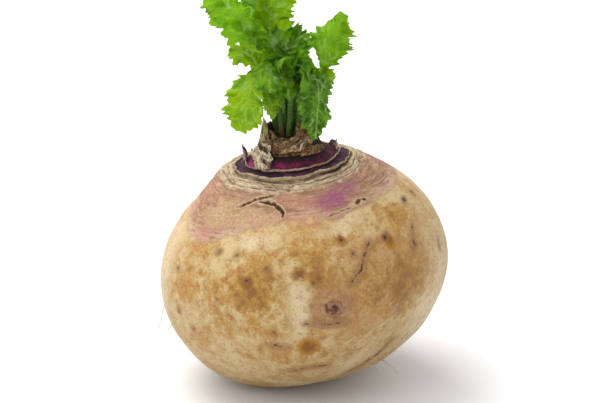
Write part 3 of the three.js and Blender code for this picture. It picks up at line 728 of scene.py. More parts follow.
    onCrown = ring.rise(15.6, 14.8)
    rough = 0.5 + specky * 0.14 + shoulder * 0.12 + onCrown * 0.2 + (split + core) * 0.3
    rough = rough - shelf * (1 - neck) * 0.05
    relief = speck * 0.35 + streak * (shoulder + onCrown).rise(0, 1) * 0.8 + patch * 0.6 - split * 1.2
    relief = relief + wrinkle * (slanted * 1.2 + 0.3) - thread * 0.4
    grainy = start.add("ShaderNodeBump", {}, Strength=0.8, Distance=0.3 * mm, Height=relief)
    shader = start.add("ShaderNodeBsdfPrincipled", {}, Base_Color=colour, Roughness=rough, Normal=grainy,
                       Specular_IOR_Level=0.26)
    start.add("ShaderNodeOutputMaterial", {}, shader)
    return material


turnipRoot = buildRoot()
turnipRoot.data.materials.append(skinFinish())
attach(turnipRoot, "root")
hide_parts("root")

# Fine root hairs on the lower part: where each starts as (turn, rise), which way it leans, its length and
# its droop.
hairs = [
    dict(start=(-176, -14), lean=(-0.25, -0.3, -0.9), length=11, droop=2.2),
    dict(start=(-171, -22), lean=(-0.5, -0.6, -0.6), length=5, droop=1),
    dict(start=(-52, -33), lean=(0.5, -0.5, -0.7), length=5, droop=-1.5),
    dict(start=(-41, -36), lean=(0.8, -0.3, -0.4), length=6.5, droop=1.4),
    dict(start=(20, -44), lean=(0.7, 0.3, -0.5), length=5, droop=1.5),
    dict(start=(120, -30), lean=(-0.4, 0.7, -0.5), length=6, droop=1.2),
]


def buildHair(hair, number):
    share = np.linspace(0, 1, 40)[:, None]
    lean = unit(np.array(hair["lean"]))
    curve = onBody(*hair["start"]) - 0.4 * aim(*hair["start"]) + lean * hair["length"] * share
    curve = curve + np.array([0, 0, -hair["droop"]]) * share ** 2
    line = np.concatenate([share * 3, 0 * share, 0 * share + number], axis=1)
    curve[:, 0] += 0.5 * share[:, 0] * grain(line, 1, 50, 2)
    forward = unit(np.gradient(curve, axis=0))
    side = unit(np.cross(forward, [0.3, 1, 0.2]))
    spin = np.linspace(0, 2 * math.pi, 8, endpoint=False)[None, :, None]
    thick = 0.13 * (1 - 0.6 * share)[:, None]
    other = np.cross(forward, side)
    rows = curve[:, None] + thick * (np.cos(spin) * side[:, None] + np.sin(spin) * other[:, None])
    return closedLoft("rootHair_" + str(number), rows, curve[0], curve[-1])


hairPaint, start = newFinish("rootHair")
place = start.add("ShaderNodeTexCoord").out("Object")
shade = mottle(place, 1.2, 3, 0.6, 15).between((0.2, 0.11, 0.045), (0.5, 0.38, 0.22))
rough = 0.6 + mottle(place, 0.6, 2, 0.5, 16) * 0.2
shader = start.add("ShaderNodeBsdfPrincipled", {}, Base_Color=shade, Roughness=rough)
start.add("ShaderNodeOutputMaterial", {}, shader)
for number, hair in enumerate(hairs):
    piece = buildHair(hair, number)
    piece.data.materials.append(hairPaint)
    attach(piece, "root")
    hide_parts("root")
print("root built")


# The leaves: `foot` is degrees round the neck, or None for the middle. `stalk` and `blade` are points on
# the midrib, measured from the foot. `side` is the direction of the right-hand half at the blade's foot and
# at its tip. `left` and `right` are the halves' widths at even steps along the blade, `teeth` is how many
# points a margin has, `fold` is how steeply the halves rise from the midrib, `curl` bends their margins, and
# `ruffle` and `crumple` are the heights of the waves along the margins and of the lumps all over. `wing` is
# how far the blade runs down the stalk, and `part` names a further blade of the same node.
leaves = [
    dict(name="leaf_front_left", foot=-130, tone="lime",
         stalk=[(-0.5, 0, 9.5), (-2.5, 0.5, 16.5), (-5, -0.5, 22)],
         blade=[(-7.5, -3.5, 20), (-9.5, -5.5, 15.5), (-10.5, -6.5, 10), (-12.5, -7, 4)],
         side=[(0.8, -0.5, 0.3), (0.95, -0.2, 0.2)],
         left=[1.4, 4, 6, 7.6, 6.6, 7, 5, 1], right=[1, 3, 4.4, 5.2, 5.8, 5, 4.2, 1],
         teeth=6, fold=0.12, curl=-0.3, ruffle=0.7, crumple=0.4),
    dict(name="leaf_small_left", foot=-170, tone="lime",
         stalk=[(-1, 0, 5.5), (-2.5, 0, 10.5), (-4, -1, 14.5)],
         blade=[(-4.5, -3, 16), (-3.5, -4, 15), (-2, -5, 11.5), (-1.5, -5.5, 7)],
         side=[(0.9, -0.3, 0.2), (0.95, -0.3, 0.1)],
         left=[0.5, 1.3, 2.1, 2.4, 2.2, 0.3], right=[0.5, 1.3, 2.1, 2.5, 2.2, 0.3],
         teeth=4, fold=0.2, curl=-0.1, ruffle=0.25, crumple=0.15),
    dict(name="leaf_front", foot=-90, tone="mid",
         stalk=[(0.5, -1, 7), (0.5, -1.5, 13), (-1, -2.5, 19.5)],
         blade=[(-2.5, -4, 23.5), (-4.5, -5.5, 24), (-5.5, -7, 21), (-5.5, -8, 16)],
         side=[(0.9, -0.3, 0.3), (0.98, -0.1, 0.1)],
         left=[2, 4, 5.2, 4.8, 5.6, 4.6, 0.6], right=[2, 3.6, 4.8, 4, 4.4, 3.6, 0.6],
         teeth=5, fold=0.2, curl=0.6, ruffle=1.3, crumple=1.0, wing=0.35),
    dict(name="leaf_front_right", foot=-50, tone="deep",
         stalk=[(1, -1, 4.5), (1.5, -1.5, 11), (3, -2.5, 17.5)],
         blade=[(5, -4, 19.5), (6.5, -6, 18), (7, -7, 14), (6.5, -7.5, 8), (6, -7, 1)],
         side=[(0.85, 0.2, -0.3), (0.98, -0.1, 0.05)],
         left=[1.6, 5, 6.6, 6.8, 6.2, 5.6, 5, 3.4, 0.5], right=[1, 3, 4.2, 3.9, 3.6, 2.2, 3.9, 2, 0.4],
         teeth=5, fold=0.1, curl=-0.3, ruffle=0.6, crumple=0.45),
    dict(name="leaf_right", foot=-10, tone="fresh",
         stalk=[(1, 0.5, 3.5), (2.5, 0.5, 10), (5, 0.5, 15.5)],
         blade=[(7, 0.5, 20), (8, 0.5, 24.5), (9, 0.5, 28), (10.5, 1, 32), (13.5, 1.5, 37)],
         side=[(0.9, 0.3, -0.1), (0.85, 0.4, -0.35)],
         left=[2.6, 2.2, 1, 2.4, 7.4, 11, 10, 5.4, 5, 0.5],
         right=[2.4, 1.4, 1, 3.4, 5.2, 5.4, 4.8, 4.6, 2.8, 0.5],
         teeth=7, fold=0.5, curl=0.4, ruffle=0.9, crumple=0.6, wing=0.15),
    dict(name="leaf_tall_middle", foot=30, tone="lime",
         stalk=[(-2, 1, 7), (-5, 2.5, 15), (-7.5, 3.5, 23)],
         blade=[(-8.5, 3.5, 30), (-8.5, 3.5, 35.5), (-6.5, 3, 40.5), (-2.5, 2.5, 46.5)],
         side=[(0.95, 0, -0.1), (0.8, 0, -0.6)],
         left=[2.4, 5, 4.4, 6, 4, 5, 3, 0.5], right=[2.4, 6, 7, 4.6, 6.4, 4.4, 5, 0.5],
         teeth=6, fold=0.3, curl=0.3, ruffle=1.1, crumple=0.7, wing=0.3),
    dict(name="leaf_tall_left", foot=70, tone="mid",
         stalk=[(-2, 1, 7.5), (-4, 3.5, 15), (-6.5, 5, 22.5)],
         blade=[(-9, 5.5, 29), (-10.5, 5.5, 35), (-11.5, 5, 40.5), (-13, 4.5, 48)],
         side=[(0.95, 0.15, 0.1), (0.95, 0.1, 0.1)],
         left=[3, 5, 6, 4.4, 6.4, 6, 3.6, 4.4, 0.5], right=[2.6, 4, 5, 3.6, 5.2, 5.2, 3.4, 3.4, 0.5],
         teeth=7, fold=0.15, curl=0.4, ruffle=1.1, crumple=0.7, wing=0.35),
    dict(name="leaf_back_left", foot=110, tone="bright",
         stalk=[(-1.5, 0, 6.5), (-3.5, 1, 14), (-6, 1, 21.5)],
         blade=[(-9, -0.5, 28.5), (-13, -2, 34.5), (-17, -3, 40), (-22, -3, 45.5)],
         side=[(0.75, -0.1, 0.65), (0.7, -0.1, 0.7)],
         left=[2.4, 3.4, 4.6, 3, 6.4, 4, 7, 4.4, 5.4, 0.5],
         right=[2, 4, 3, 5.8, 3.6, 6.6, 4, 5.4, 3.4, 0.5],
         teeth=7, fold=0.15, curl=0.6, ruffle=1.1, crumple=0.8, wing=0.2),
    dict(name="leaf_left", foot=150, tone="lime",
         stalk=[(-1, 0, 6), (-3, 0.5, 12.5), (-5, 0, 19)],
         blade=[(-7, -2.5, 24), (-9, -4.5, 26.5), (-11.5, -5.5, 27.5), (-14.5, -6.5, 29)],
         side=[(0.35, -0.6, 0.7), (0.2, -0.55, 0.8)],
         left=[2, 3.4, 4.4, 3.4, 4.2, 2.8, 0.5], right=[2, 4, 5.4, 4.6, 5, 3.4, 0.5],
         teeth=5, fold=0.2, curl=0.3, ruffle=0.9, crumple=0.5, wing=0.2),
    dict(name="leaf_middle", foot=None, tone="deep",
         stalk=[(1.5, -1, 6.5), (2, -2, 12.5), (1.5, -3.2, 18)],
         blade=[(1, -4.4, 22), (0.3, -4.6, 25.5), (-1, -3.4, 29), (-2.5, -0.5, 33)],
         side=[(0.97, 0.1, 0), (0.95, 0.2, 0)],
         left=[2, 3.4, 5, 7, 7.4, 6, 3.8, 0.5], right=[2, 3.4, 5.4, 4.6, 7, 6, 3.6, 0.5],
         teeth=6, fold=0.6, curl=1.2, ruffle=1.5, crumple=0.9, wing=0.35),
    dict(name="leaf_middle", part="young", foot=None, tone="mid",
         stalk=[(-1.2, -1.8, 5), (-1.8, -2.6, 9), (-2.3, -3.2, 12.5)],
         blade=[(-2.7, -3.6, 15), (-3, -3.8, 17.5), (-3, -3.6, 20), (-3.3, -3, 22.5)],
         side=[(0.95, -0.2, 0), (0.9, 0.3, 0)],
         left=[0.8, 1.8, 2.6, 2.2, 1.6, 0.3], right=[0.8, 2, 2.4, 2.4, 1.4, 0.3],
         teeth=4, fold=0.5, curl=0.8, ruffle=0.5, crumple=0.4, wing=0.3),
    dict(name="leaf_middle", part="youngRight", foot=None, tone="fresh",
         stalk=[(1.6, -1.2, 6), (2.4, -1.8, 11), (3, -2, 15)],
         blade=[(3.6, -2, 18), (4.2, -1.8, 20.5), (5, -1.4, 23), (6, -0.8, 25)],
         side=[(0.9, -0.2, -0.1), (0.8, 0.3, -0.3)],
         left=[0.8, 1.8, 2.8, 2.6, 1.8, 0.3], right=[0.8, 1.8, 2.6, 2.4, 1.6, 0.3],
         teeth=4, fold=0.4, curl=0.6, ruffle=0.6, crumple=0.5, wing=0.3),
    dict(name="leaf_right", part="lobeUp", foot=-10, tone="lime",
         stalk=[(1, 0.3, 3.5), (2.4, 0.2, 10), (4.4, -0.2, 15)],
         blade=[(4, -1, 18), (2.6, -1.8, 20.5), (0.6, -2.2, 22.5), (-1, -2.2, 23)],
         side=[(0.5, -0.3, 0.8), (0.4, -0.4, 0.8)],
         left=[1, 2, 2.6, 2.4, 1.6, 0.3], right=[1, 2, 2.6, 2.2, 1.4, 0.3],
         teeth=4, fold=0.2, curl=0.3, ruffle=0.6, crumple=0.4),
    dict(name="leaf_right", part="lobeOut", foot=-10, tone="lime",
         stalk=[(1, 0.4, 3.5), (2.5, 0.3, 10), (4.6, 0, 15)],
         blade=[(6, -0.5, 18), (7.8, -1, 18.6), (9, -1.2, 17.8), (10, -1.2, 16)],
         side=[(0.4, -0.3, -0.8), (0.4, -0.4, -0.8)],
         left=[1, 1.6, 2.2, 2, 1.2, 0.3], right=[1, 1.6, 2.2, 2, 1.2, 0.3],
         teeth=4, fold=0.2, curl=0.3, ruffle=0.5, crumple=0.3),
    dict(name="leaf_middle", part="low", foot=None, tone="mid",
         stalk=[(1, -1.2, 7.5), (0.8, -2.2, 13), (0, -3, 17)],
         blade=[(-1.5, -4, 21), (-2.5, -4.6, 25), (-2.5, -4, 29.5), (-3.5, -3, 33)],
         side=[(0.95, -0.2, 0), (0.95, 0.1, 0)],
         left=[1, 3.4, 4.6, 4, 5, 3.4, 0.4], right=[1, 3, 4.6, 4, 4.4, 3, 0.4],
         teeth=6, fold=0.25, curl=0.8, ruffle=1.2, crumple=0.8, wing=0.2),
]
leafGrid = dict(stalkRows=34, bladeRows=130, across=46, thickness=0.36, ribSpread=1.5, veinGap=3.1)


def alongSpine(points, shares):
    # a uniform Catmull-Rom curve through the points, at shares from 0 to 1
    whole = np.concatenate([[2 * points[0] - points[1]], points, [2 * points[-1] - points[-2]]])
    place = np.clip(shares, 0, 1) * (len(points) - 1)
    index = np.minimum(place.astype(int), len(points) - 2)
    t = (place - index)[:, None]
    a, b, c, d = (whole[index + step] for step in range(4))
    squared = 2 * a - 5 * b + 4 * c - d
    cubed = 3 * b - a - 3 * c + d
    return 0.5 * (2 * b + (c - a) * t + squared * t ** 2 + cubed * t ** 3)


def marginWidth(widths, along, teeth, seed):
    # a half's width: its lobes from the list, and pointed teeth that lean towards the tip
    steps = np.linspace(0, 1, len(widths))
    fine = np.linspace(0, 1, 200)
    lobes = np.interp(fine, steps, widths)
    lobes = np.convolve(np.pad(lobes, 6, mode="edge"), np.hanning(15)[1:-1] / np.hanning(15).sum(), "valid")
    width = np.interp(along, fine, lobes)
    phase = along * teeth * 2.2 + seed * 0.37 + 0.35 * np.sin(along * 7 + seed)
    tooth = phase - np.floor(phase)
    size = 0.7 + 0.3 * np.sin(np.floor(phase) * 2.4 + seed)
    saw = np.where(tooth < 0.75, tooth / 0.75, (1 - tooth) / 0.25)
    small = phase * 2.7 + 0.3 * np.sin(phase * 2)
    small = small - np.floor(small)
    notch = np.where(small < 0.7, small / 0.7, (1 - small) / 0.3)
    teethOut = 0.5 * (saw - 0.4) * size + 0.22 * notch
    return width * (1 + 0.2 * (saw - 0.5) * size) + np.minimum(width, 1.4) * teethOut


def buildLeaf(leaf, number):
    middleOne = leaf["foot"] is None
    foot = slopedPoint(0 if middleOne else stalkCircle, np.radians(0 if middleOne else leaf["foot"]),
                       cupFloor + clearance + stalkRadius * 0.4)
    points = np.array([foot] + [foot + np.array(p) for p in leaf["stalk"] + leaf["blade"]])
    bladeStart = len(leaf["stalk"]) / (len(points) - 1)
    along = np.concatenate([np.linspace(-1, 0, leafGrid["stalkRows"], endpoint=False),
                            np.linspace(0, 1, leafGrid["bladeRows"])])
    shares = np.where(along < 0, bladeStart * (along + 1), mix(bladeStart, 1, along))
    spine = alongSpine(points, shares)
    forward = unit(alongSpine(points, shares + 0.004) - alongSpine(points, shares - 0.004))
    length = np.concatenate([[0], np.cumsum(np.linalg.norm(np.diff(spine, axis=0), axis=-1))])
    length -= length[leafGrid["stalkRows"]]
    sides = np.array(leaf["side"])
    side = mix(sides[0], sides[1], np.clip(along, 0, 1)[:, None])
    right = unit(side - forward * (side * forward).sum(axis=-1, keepdims=True))
    up = np.cross(right, forward)

    wing = leaf.get("wing", 0)  # how far the blade runs down the stalk
    inBlade = smooth(along, -0.04 - wing, 0.1 - wing)[:, None]
    rib = stalkRadius * mix(1.0, 0.3, smooth(along, -0.3, 0.95))[:, None]
    halves = [marginWidth(leaf[key], np.clip(along, 0, 1), leaf["teeth"], number + shift)[:, None]
              for key, shift in (("left", 0), ("right", 5))]
    even = np.linspace(-1, 1, leafGrid["across"])
    across = mix(even, np.sin(even * math.pi / 2), 0.5)[None, :]
    width = np.where(across < 0, mix(rib, halves[0] + 0.2, inBlade), mix(rib, halves[1] + 0.2, inBlade))
    reach = width * across
    out = np.abs(reach)
    edge = np.abs(across)

    # side veins run outwards and forwards from the midrib, and finer ones net the blade between them
    veinPlace = (length[:, None] - out * 0.85) / leafGrid["veinGap"] + np.where(across < 0, 0, 0.45)
    fromVein = np.abs(veinPlace - np.round(veinPlace)) * leafGrid["veinGap"]
    sideVein = np.exp(-(fromVein / 0.3) ** 2) * smooth(out, 0.1, 0.5) * (1 - 0.6 * edge)
    flatPlace = np.stack([length[:, None] + 0 * reach, reach, 0 * reach + number * 7.0], axis=-1)
    cells = [noise.voronoi(Vector(p))[0] for p in (flatPlace.reshape(-1, 3) / 1.7).tolist()]
    net = np.reshape([far[1] - far[0] for far in cells], reach.shape)
    midrib = np.exp(-(out / (0.18 + 0.22 * rib)) ** 2)
    gapShare = np.clip(fromVein / leafGrid["veinGap"], 0, 0.5)
    bulge = 0.6 * np.sin(math.pi * gapShare) + 0.16 * smooth(net, 0, 0.5)

    # the blade's own form
    high = out * leaf["fold"] + leaf["curl"] * width * edge ** 3 * 0.5
    wave = np.sin(length[:, None] * 1.15 + np.where(across < 0, 0, 2) + number)
    wave = wave + 0.55 * np.sin(length[:, None] * 2.6 + number * 2)
    high = high + leaf["ruffle"] * edge ** 2 * wave
    crease = 0.3 - np.abs(grain(flatPlace, 4.2, 60 + number, 2))
    high = high + leaf["crumple"] * (3 * grain(flatPlace, 7, 50 + number) * (0.25 + edge) + 2.2 * crease)
    high = inBlade * (high - bulge * smooth(out, 0.3, 1.2) * (1 - edge ** 4))
    sweep = inBlade * out * (0.3 + 0.12 * np.sin(length[:, None] * 0.9 + number))
    nearRib = np.exp(-(out / (leafGrid["ribSpread"] * 0.5)) ** 2)
    thin = leafGrid["thickness"] / 2 * (1 - 0.6 * edge ** 3)
    flat = thin + (rib * 0.75 - thin) * nearRib + 0.08 * sideVein
    body = mix(rib * np.sqrt(np.maximum(0, 1 - across ** 2)), flat, inBlade)

    middle = spine[:, None] + right[:, None] * reach[..., None] + forward[:, None] * sweep[..., None]
    groove = 0.35 * inBlade * rib * midrib
    top = middle + up[:, None] * (high + body)[..., None]
    under = middle + up[:, None] * (high - body + groove)[..., None]
    rows = np.concatenate([under, top[:, ::-1]], axis=1)
    both = lambda values: np.concatenate([values + 0 * reach, (values + 0 * reach)[:, ::-1]], axis=1)
    name = leaf["name"].replace("leaf_", "turnipLeaf_") + ("_" + leaf["part"] if "part" in leaf else "")
    piece = closedLoft(name, rows, spine[0], spine[-1] + forward[-1] * 0.2)
    # fold carries the blade's crumple; the finish paints shade in its valleys and highlight on its crests
    paint(piece, vein=both(sideVein * inBlade), net=both(net), rib=both(mix(1, midrib, inBlade)),
          fold=both(crease * inBlade), edge=both(edge * inBlade), stalk=both(-np.minimum(along, 0)[:, None]),
          blade=both(inBlade))
    return piece


# the crease tone is painted shade for the crumpled blades' valleys, and the gloss tone a painted highlight on
# their crests
leafMarks = dict(
    margin=(0.26, 0.42, 0.01), crease=(0.012, 0.06, 0.001), gloss=(0.5, 0.66, 0.3),
    net=(0.34, 0.52, 0.06), vein=(0.34, 0.52, 0.06), rib=(0.4, 0.55, 0.14),
    stem=(0.08, 0.19, 0.01), stemLight=(0.22, 0.38, 0.05), stemFoot=(0.02, 0.06, 0.004),
    stemRed=(0.12, 0.03, 0.03),
)
# `through` is the light that a blade lets through, and `clear` is how much of it
leafTones = dict(
    lime=dict(young=(0.3, 0.46, 0.001), deep=(0.13, 0.3, 0.001), through=(0.68, 0.92, 0.0), clear=0.48),
    bright=dict(young=(0.27, 0.47, 0.03), deep=(0.1, 0.29, 0.008), through=(0.6, 0.9, 0.06), clear=0.48),
    fresh=dict(young=(0.26, 0.44, 0.012), deep=(0.08, 0.24, 0.003), through=(0.55, 0.85, 0.02), clear=0.45),
    mid=dict(young=(0.2, 0.41, 0.003), deep=(0.05, 0.19, 0.001), through=(0.5, 0.85, 0.0), clear=0.42),
    deep=dict(young=(0.12, 0.3, 0.008), deep=(0.018, 0.085, 0.002), through=(0.35, 0.7, 0.01), clear=0.3),
)


def leafFinish(tone):
    tones = {**leafMarks, **leafTones[tone]}
    material, start = newFinish("leafGreen_" + tone)
    place = start.add("ShaderNodeTexCoord").out("Object")
    vein, net, rib, edge, stalk, blade, fold = map(
        start.layer, ("vein", "net", "rib", "edge", "stalk", "blade", "fold"))
    cloud = mottle(place, 5, 3, 0.55, 11)
    fine = mottle(place, 0.6, 3, 0.6, 12)
    streak = mottle(stretched(place, 1, 1, 0.15), 0.5, 2, 0.5, 13)
    colour = (cloud + (fine - 0.5) * 0.3).rise(0.38, 0.62).between(tones["young"], tones["deep"])
    colour = colour.coats(
        tones,
        margin=edge.rise(0.7, 1.0) * 0.5,
        deep=net.rise(0.25, 0.7) * 0.25,
        # the crease coat is painted shade in the crumple's valleys, and the young and gloss coats on its
        # crests are painted highlight
        crease=fold.rise(-0.02, -0.35) * 0.6,
        young=fold.rise(0.1, 0.3) * 0.6,
        gloss=fold.rise(0.14, 0.3) * cloud.rise(0.42, 0.58) * 0.5,
        net=(1 - net.rise(0.02, 0.12)) * 0.25,
        vein=vein.rise(0.2, 0.9) * 0.55,
        rib=rib.rise(0.4, 0.9) * 0.55,
    )
    stem = streak.rise(0.35, 0.65).between(tones["stem"], tones["stemLight"]).coats(
        tones,
        stemFoot=stalk.rise(0.1, 0.6) * 0.85,
        stemRed=stalk.rise(0.7, 1.0) * streak.rise(0.4, 0.6),
    )
    colour = stem.tint(colour, blade)
    rough = 0.42 + (fine - 0.5) * 0.2 + rib * 0.08
    relief = fine * 0.4 + net.rise(0, 0.3) * 0.8 - vein * 0.5
    grainy = start.add("ShaderNodeBump", {}, Strength=0.9, Distance=0.35 * mm, Height=relief)
    skin = start.add("ShaderNodeBsdfPrincipled", {}, Base_Color=colour, Roughness=rough, Normal=grainy,
                     Specular_IOR_Level=0.28)
    glow = start.add("ShaderNodeBsdfTranslucent", {}, tones["through"])
    amount = blade * (1 - rib.rise(0.3, 0.9) * 0.6) * (1 - vein * 0.4) * tones["clear"]
    start.add("ShaderNodeOutputMaterial", {}, start.add("ShaderNodeMixShader", {}, amount, skin, glow))
    return material


greens = {tone: leafFinish(tone) for tone in leafTones}
for number, leaf in enumerate(leaves):
    piece = buildLeaf(leaf, number)
    piece.data.materials.append(greens[leaf["tone"]])
    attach(piece, "root")
    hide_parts(leaf["name"])
print("leaves built")


# Dry scales are what is left of old leaf stalks, on the neck. `turn` is degrees round the neck and `span` is
# half the width in degrees. `start` and `stop` are the foot and the tip up the neck, from the inner ring (0)
# to the rim (1) and past it. The tip stands off by `flare`, lifted by `rise`. `ragged` is how torn its end
# is, and `folds` is how deep its folds are.
scales = [
    dict(name="scale_purple_left", turn=178, span=13, start=0.08, stop=0.2, flare=0.5, rise=5.2,
         tone="purple", ragged=0.7, folds=0.25),
    dict(name="scale_front", turn=-104, span=50, start=0.5, stop=0.72, flare=0.6, rise=0,
         tone="brown", ragged=0.6, folds=0.7),
    dict(name="scale_front_right", turn=-46, span=27, start=0.44, stop=0.6, flare=2.6, rise=2.0,
         tone="brown", ragged=0.6, folds=0.6),
    dict(name="scale_sliver", turn=-60, span=11, start=0.8, stop=1.15, flare=0.5, rise=0.3,
         tone="brown", ragged=0.4, folds=0.3),
    dict(name="scale_right", turn=14, span=18, start=0.06, stop=0.2, flare=0.6, rise=2.8,
         tone="purple", ragged=0.6, folds=0.3),
    dict(name="scale_upper_left", turn=-166, span=26, start=0.66, stop=1.3, flare=0.6, rise=0,
         tone="olive", ragged=0.45, folds=0.3),
    dict(name="scale_back_right", turn=38, span=28, start=0.5, stop=1.08, flare=0.7, rise=0,
         tone="brown", ragged=0.4, folds=0.35),
    dict(name="scale_back", turn=92, span=28, start=0.55, stop=1.12, flare=0.7, rise=0,
         tone="tan", ragged=0.4, folds=0.35),
    dict(name="scale_back_left", turn=140, span=25, start=0.5, stop=1.08, flare=0.6, rise=0,
         tone="tan", ragged=0.4, folds=0.35),
]
scaleGrid = dict(rows=44, across=44, thickness=0.34)
neckWall = np.array([
    [innerRing, innerLip],
    [innerRing - 0.5, innerLip - 0.27],
    [footRadius + 2.39, innerLip + 1.08],
    [footRadius, footHeight],
    [waistRadius, waistHeight],
    [rimRadius, rimHeight - 1.1],
])


def offNeck(place, distance):
    # a place up the neck's outside from 0 to 1 and past it, moved off by a distance
    steps = len(neckWall) - 1
    step = np.clip(np.floor(place * steps), 0, steps - 1).astype(int)
    along = neckWall[step + 1] - neckWall[step]
    out = unit(np.stack([along[..., 1], -along[..., 0]], axis=-1))
    spot = neckWall[step] + along * (place * steps - step)[..., None] + out * np.asarray(distance)[..., None]
    return spot[..., 0], spot[..., 1]


def buildScale(scale, number):
    along = np.linspace(0, 1, scaleGrid["rows"])[:, None]
    across = np.linspace(-1, 1, scaleGrid["across"])[None, :]
    line = np.stack([across * 4, 0 * across, 0 * across], axis=-1)
    tear = 0.35 * (grain(line, 1, 70 + number, 3) + 0.6)
    torn = 1 - scale["ragged"] * (0.5 * np.abs(across) ** 2 + tear)
    up = along * torn
    half = np.radians(scale["span"]) * np.sqrt(1 - 0.5 * along ** 2)
    turn = np.radians(scale["turn"]) + half * across
    flatPlace = np.stack([across * scale["span"] / 5 + 0 * along, up * 4, 0 * up + number], axis=-1)
    pleats = grain(flatPlace * [1, 0.4, 1], 0.8, 80 + number, 2)
    ripples = grain(flatPlace * [0.3, 1.6, 1], 0.7, 90 + number, 2)
    fold = scale["folds"] * (pleats + 0.5 * ripples) * smooth(along, 0, 0.25)
    radius, height = offNeck(mix(scale["start"], scale["stop"], up), 0.1 + 0 * up)
    radius = radius + scale["flare"] * up ** 1.6 + fold - 0.35 * np.abs(across) ** 3
    height = height + scale["rise"] * up
    thin = scaleGrid["thickness"] * (1 - 0.7 * np.abs(across) ** 2) * (1 - 0.6 * along) + 0.05
    outside = slopedPoint(radius + thin, turn, height)
    inside = slopedPoint(radius, turn, height)
    rows = np.concatenate([outside, inside[:, ::-1]], axis=1)
    name = scale["name"].replace("scale_", "dryScale_")
    piece = closedLoft(name, rows, rows[0].mean(axis=0), rows[-1].mean(axis=0))
    both = lambda values: np.concatenate([values + 0 * up, (values + 0 * up)[:, ::-1]], axis=1)
    paint(piece, along=both(up), across=both(across * scale["span"] / 10), fold=both(fold))
    return piece


# Strands of old stalk bases lie round the neck in festoons: where they start and stop round it, how high
# their ends and their lowest part are, how far they stand off, and their half width and thickness.
strands = [
    dict(turns=(-168, -48), ends=(0.98, 0.84), low=0.66, off=(0.5, 1.0), wide=0.62, thick=0.4, tone="tan"),
    dict(turns=(-176, -62), ends=(1.12, 0.9), low=0.72, off=(0.4, 0.7), wide=0.7, thick=0.26, tone="tan"),
    dict(turns=(-150, -40), ends=(0.8, 0.78), low=0.62, off=(0.9, 1.5), wide=0.62, thick=0.42, tone="tan"),
    dict(turns=(-134, -66), ends=(0.9, 0.96), low=0.66, off=(1.1, 1.2), wide=0.5, thick=0.4, tone="brown"),
    dict(turns=(-172, -52), ends=(1.04, 0.76), low=0.6, off=(0.5, 1.6), wide=0.42, thick=0.34, tone="cream"),
    dict(turns=(-142, -30), ends=(0.74, 0.84), low=0.6, off=(1.2, 1.3), wide=0.46, thick=0.36, tone="brown"),
    dict(turns=(-112, -44), ends=(0.8, 1.04), low=0.7, off=(0.8, 0.9), wide=0.46, thick=0.36, tone="brown"),
    dict(turns=(-120, -34), ends=(0.62, 0.9), low=0.6, off=(0.9, 1.2), wide=0.5, thick=0.3, tone="brown"),
    dict(turns=(-78, -30), ends=(0.7, 0.98), low=0.74, off=(0.7, 0.8), wide=0.55, thick=0.36, tone="tan"),
    dict(turns=(-182, -128), ends=(0.84, 0.6), low=0.62, off=(0.6, 1.4), wide=0.6, thick=0.36, tone="cream"),
    dict(turns=(-160, -104), ends=(0.68, 0.56), low=0.58, off=(1.4, 1.8), wide=0.5, thick=0.3, tone="brown"),
    dict(turns=(20, 96), ends=(0.95, 0.9), low=0.68, off=(0.6, 1.0), wide=0.6, thick=0.34, tone="tan"),
    dict(turns=(84, 160), ends=(0.95, 0.92), low=0.7, off=(0.8, 0.9), wide=0.6, thick=0.34, tone="brown"),
]
strandGrid = dict(rows=120, around=28)


def buildStrand(strand, number):
    share = np.linspace(0, 1, strandGrid["rows"])
    line = np.stack([share * 6, 0 * share, 0 * share + number], axis=-1)
    turn = np.radians(mix(*strand["turns"], share) + 5 * grain(line, 1, 110, 2))
    sag = np.sin(math.pi * share) ** 0.7
    place = mix(mix(*strand["ends"], share), strand["low"], sag) + 0.075 * grain(line, 0.7, 111, 3)
    radius, height = offNeck(place, mix(*strand["off"], share) + 0.35 * grain(line, 0.8, 112, 2))
    middle = slopedPoint(radius, turn, height)
    forward = unit(np.gradient(middle, axis=0))
    out = unit(middle - neckPoint(0, 0, cupFloor - 4))
    out = unit(out - forward * (out * forward).sum(axis=-1, keepdims=True))
    level = np.cross(forward, out)
    spin = np.linspace(0, 2 * math.pi, strandGrid["around"], endpoint=False)[None, :]
    twist = (1.1 * grain(line, 0.9, 113, 2))[:, None]
    size = (0.35 + 0.65 * np.sin(math.pi * np.clip(share * 0.94 + 0.03, 0, 1)) ** 0.5)[:, None]
    x, y = np.cos(spin) + 0 * twist, np.sin(spin) + 0 * twist
    lumps = np.stack([line[:, :1] * 2 + 0 * spin, x, y], axis=-1)
    grooves = np.stack([line[:, :1] * 0.4 + 0 * spin, x, y + number], axis=-1)
    swell = 1 + 0.5 * grain(lumps, 0.8, 114, 2) + 0.22 * grain(grooves, 0.35, 115, 2)
    x, y = strand["wide"] * size * swell * np.cos(spin), strand["thick"] * size * swell * np.sin(spin)
    x, y = x * np.cos(twist) - y * np.sin(twist), x * np.sin(twist) + y * np.cos(twist)
    rows = middle[:, None] + level[:, None] * x[..., None] + out[:, None] * y[..., None]
    piece = closedLoft("neckStrand_" + str(number), rows, middle[0], middle[-1])
    length = share[:, None] * 10 + 0 * spin
    # fold is lower in the grooves and on the side towards the neck, where the finish paints shade
    fold = 0.9 * (swell - 1) - 0.22 * (1 - np.sin(spin)) + 0 * length
    paint(piece, along=length, across=spin + 0 * length, fold=fold)
    return piece


# The stub of a thicker stalk is a hollow, folded lump.
stub = dict(name="scale_stub_left", turn=-131, place=0.3, radius=2.9, height=6.2, hollow=0.75, lobes=4)


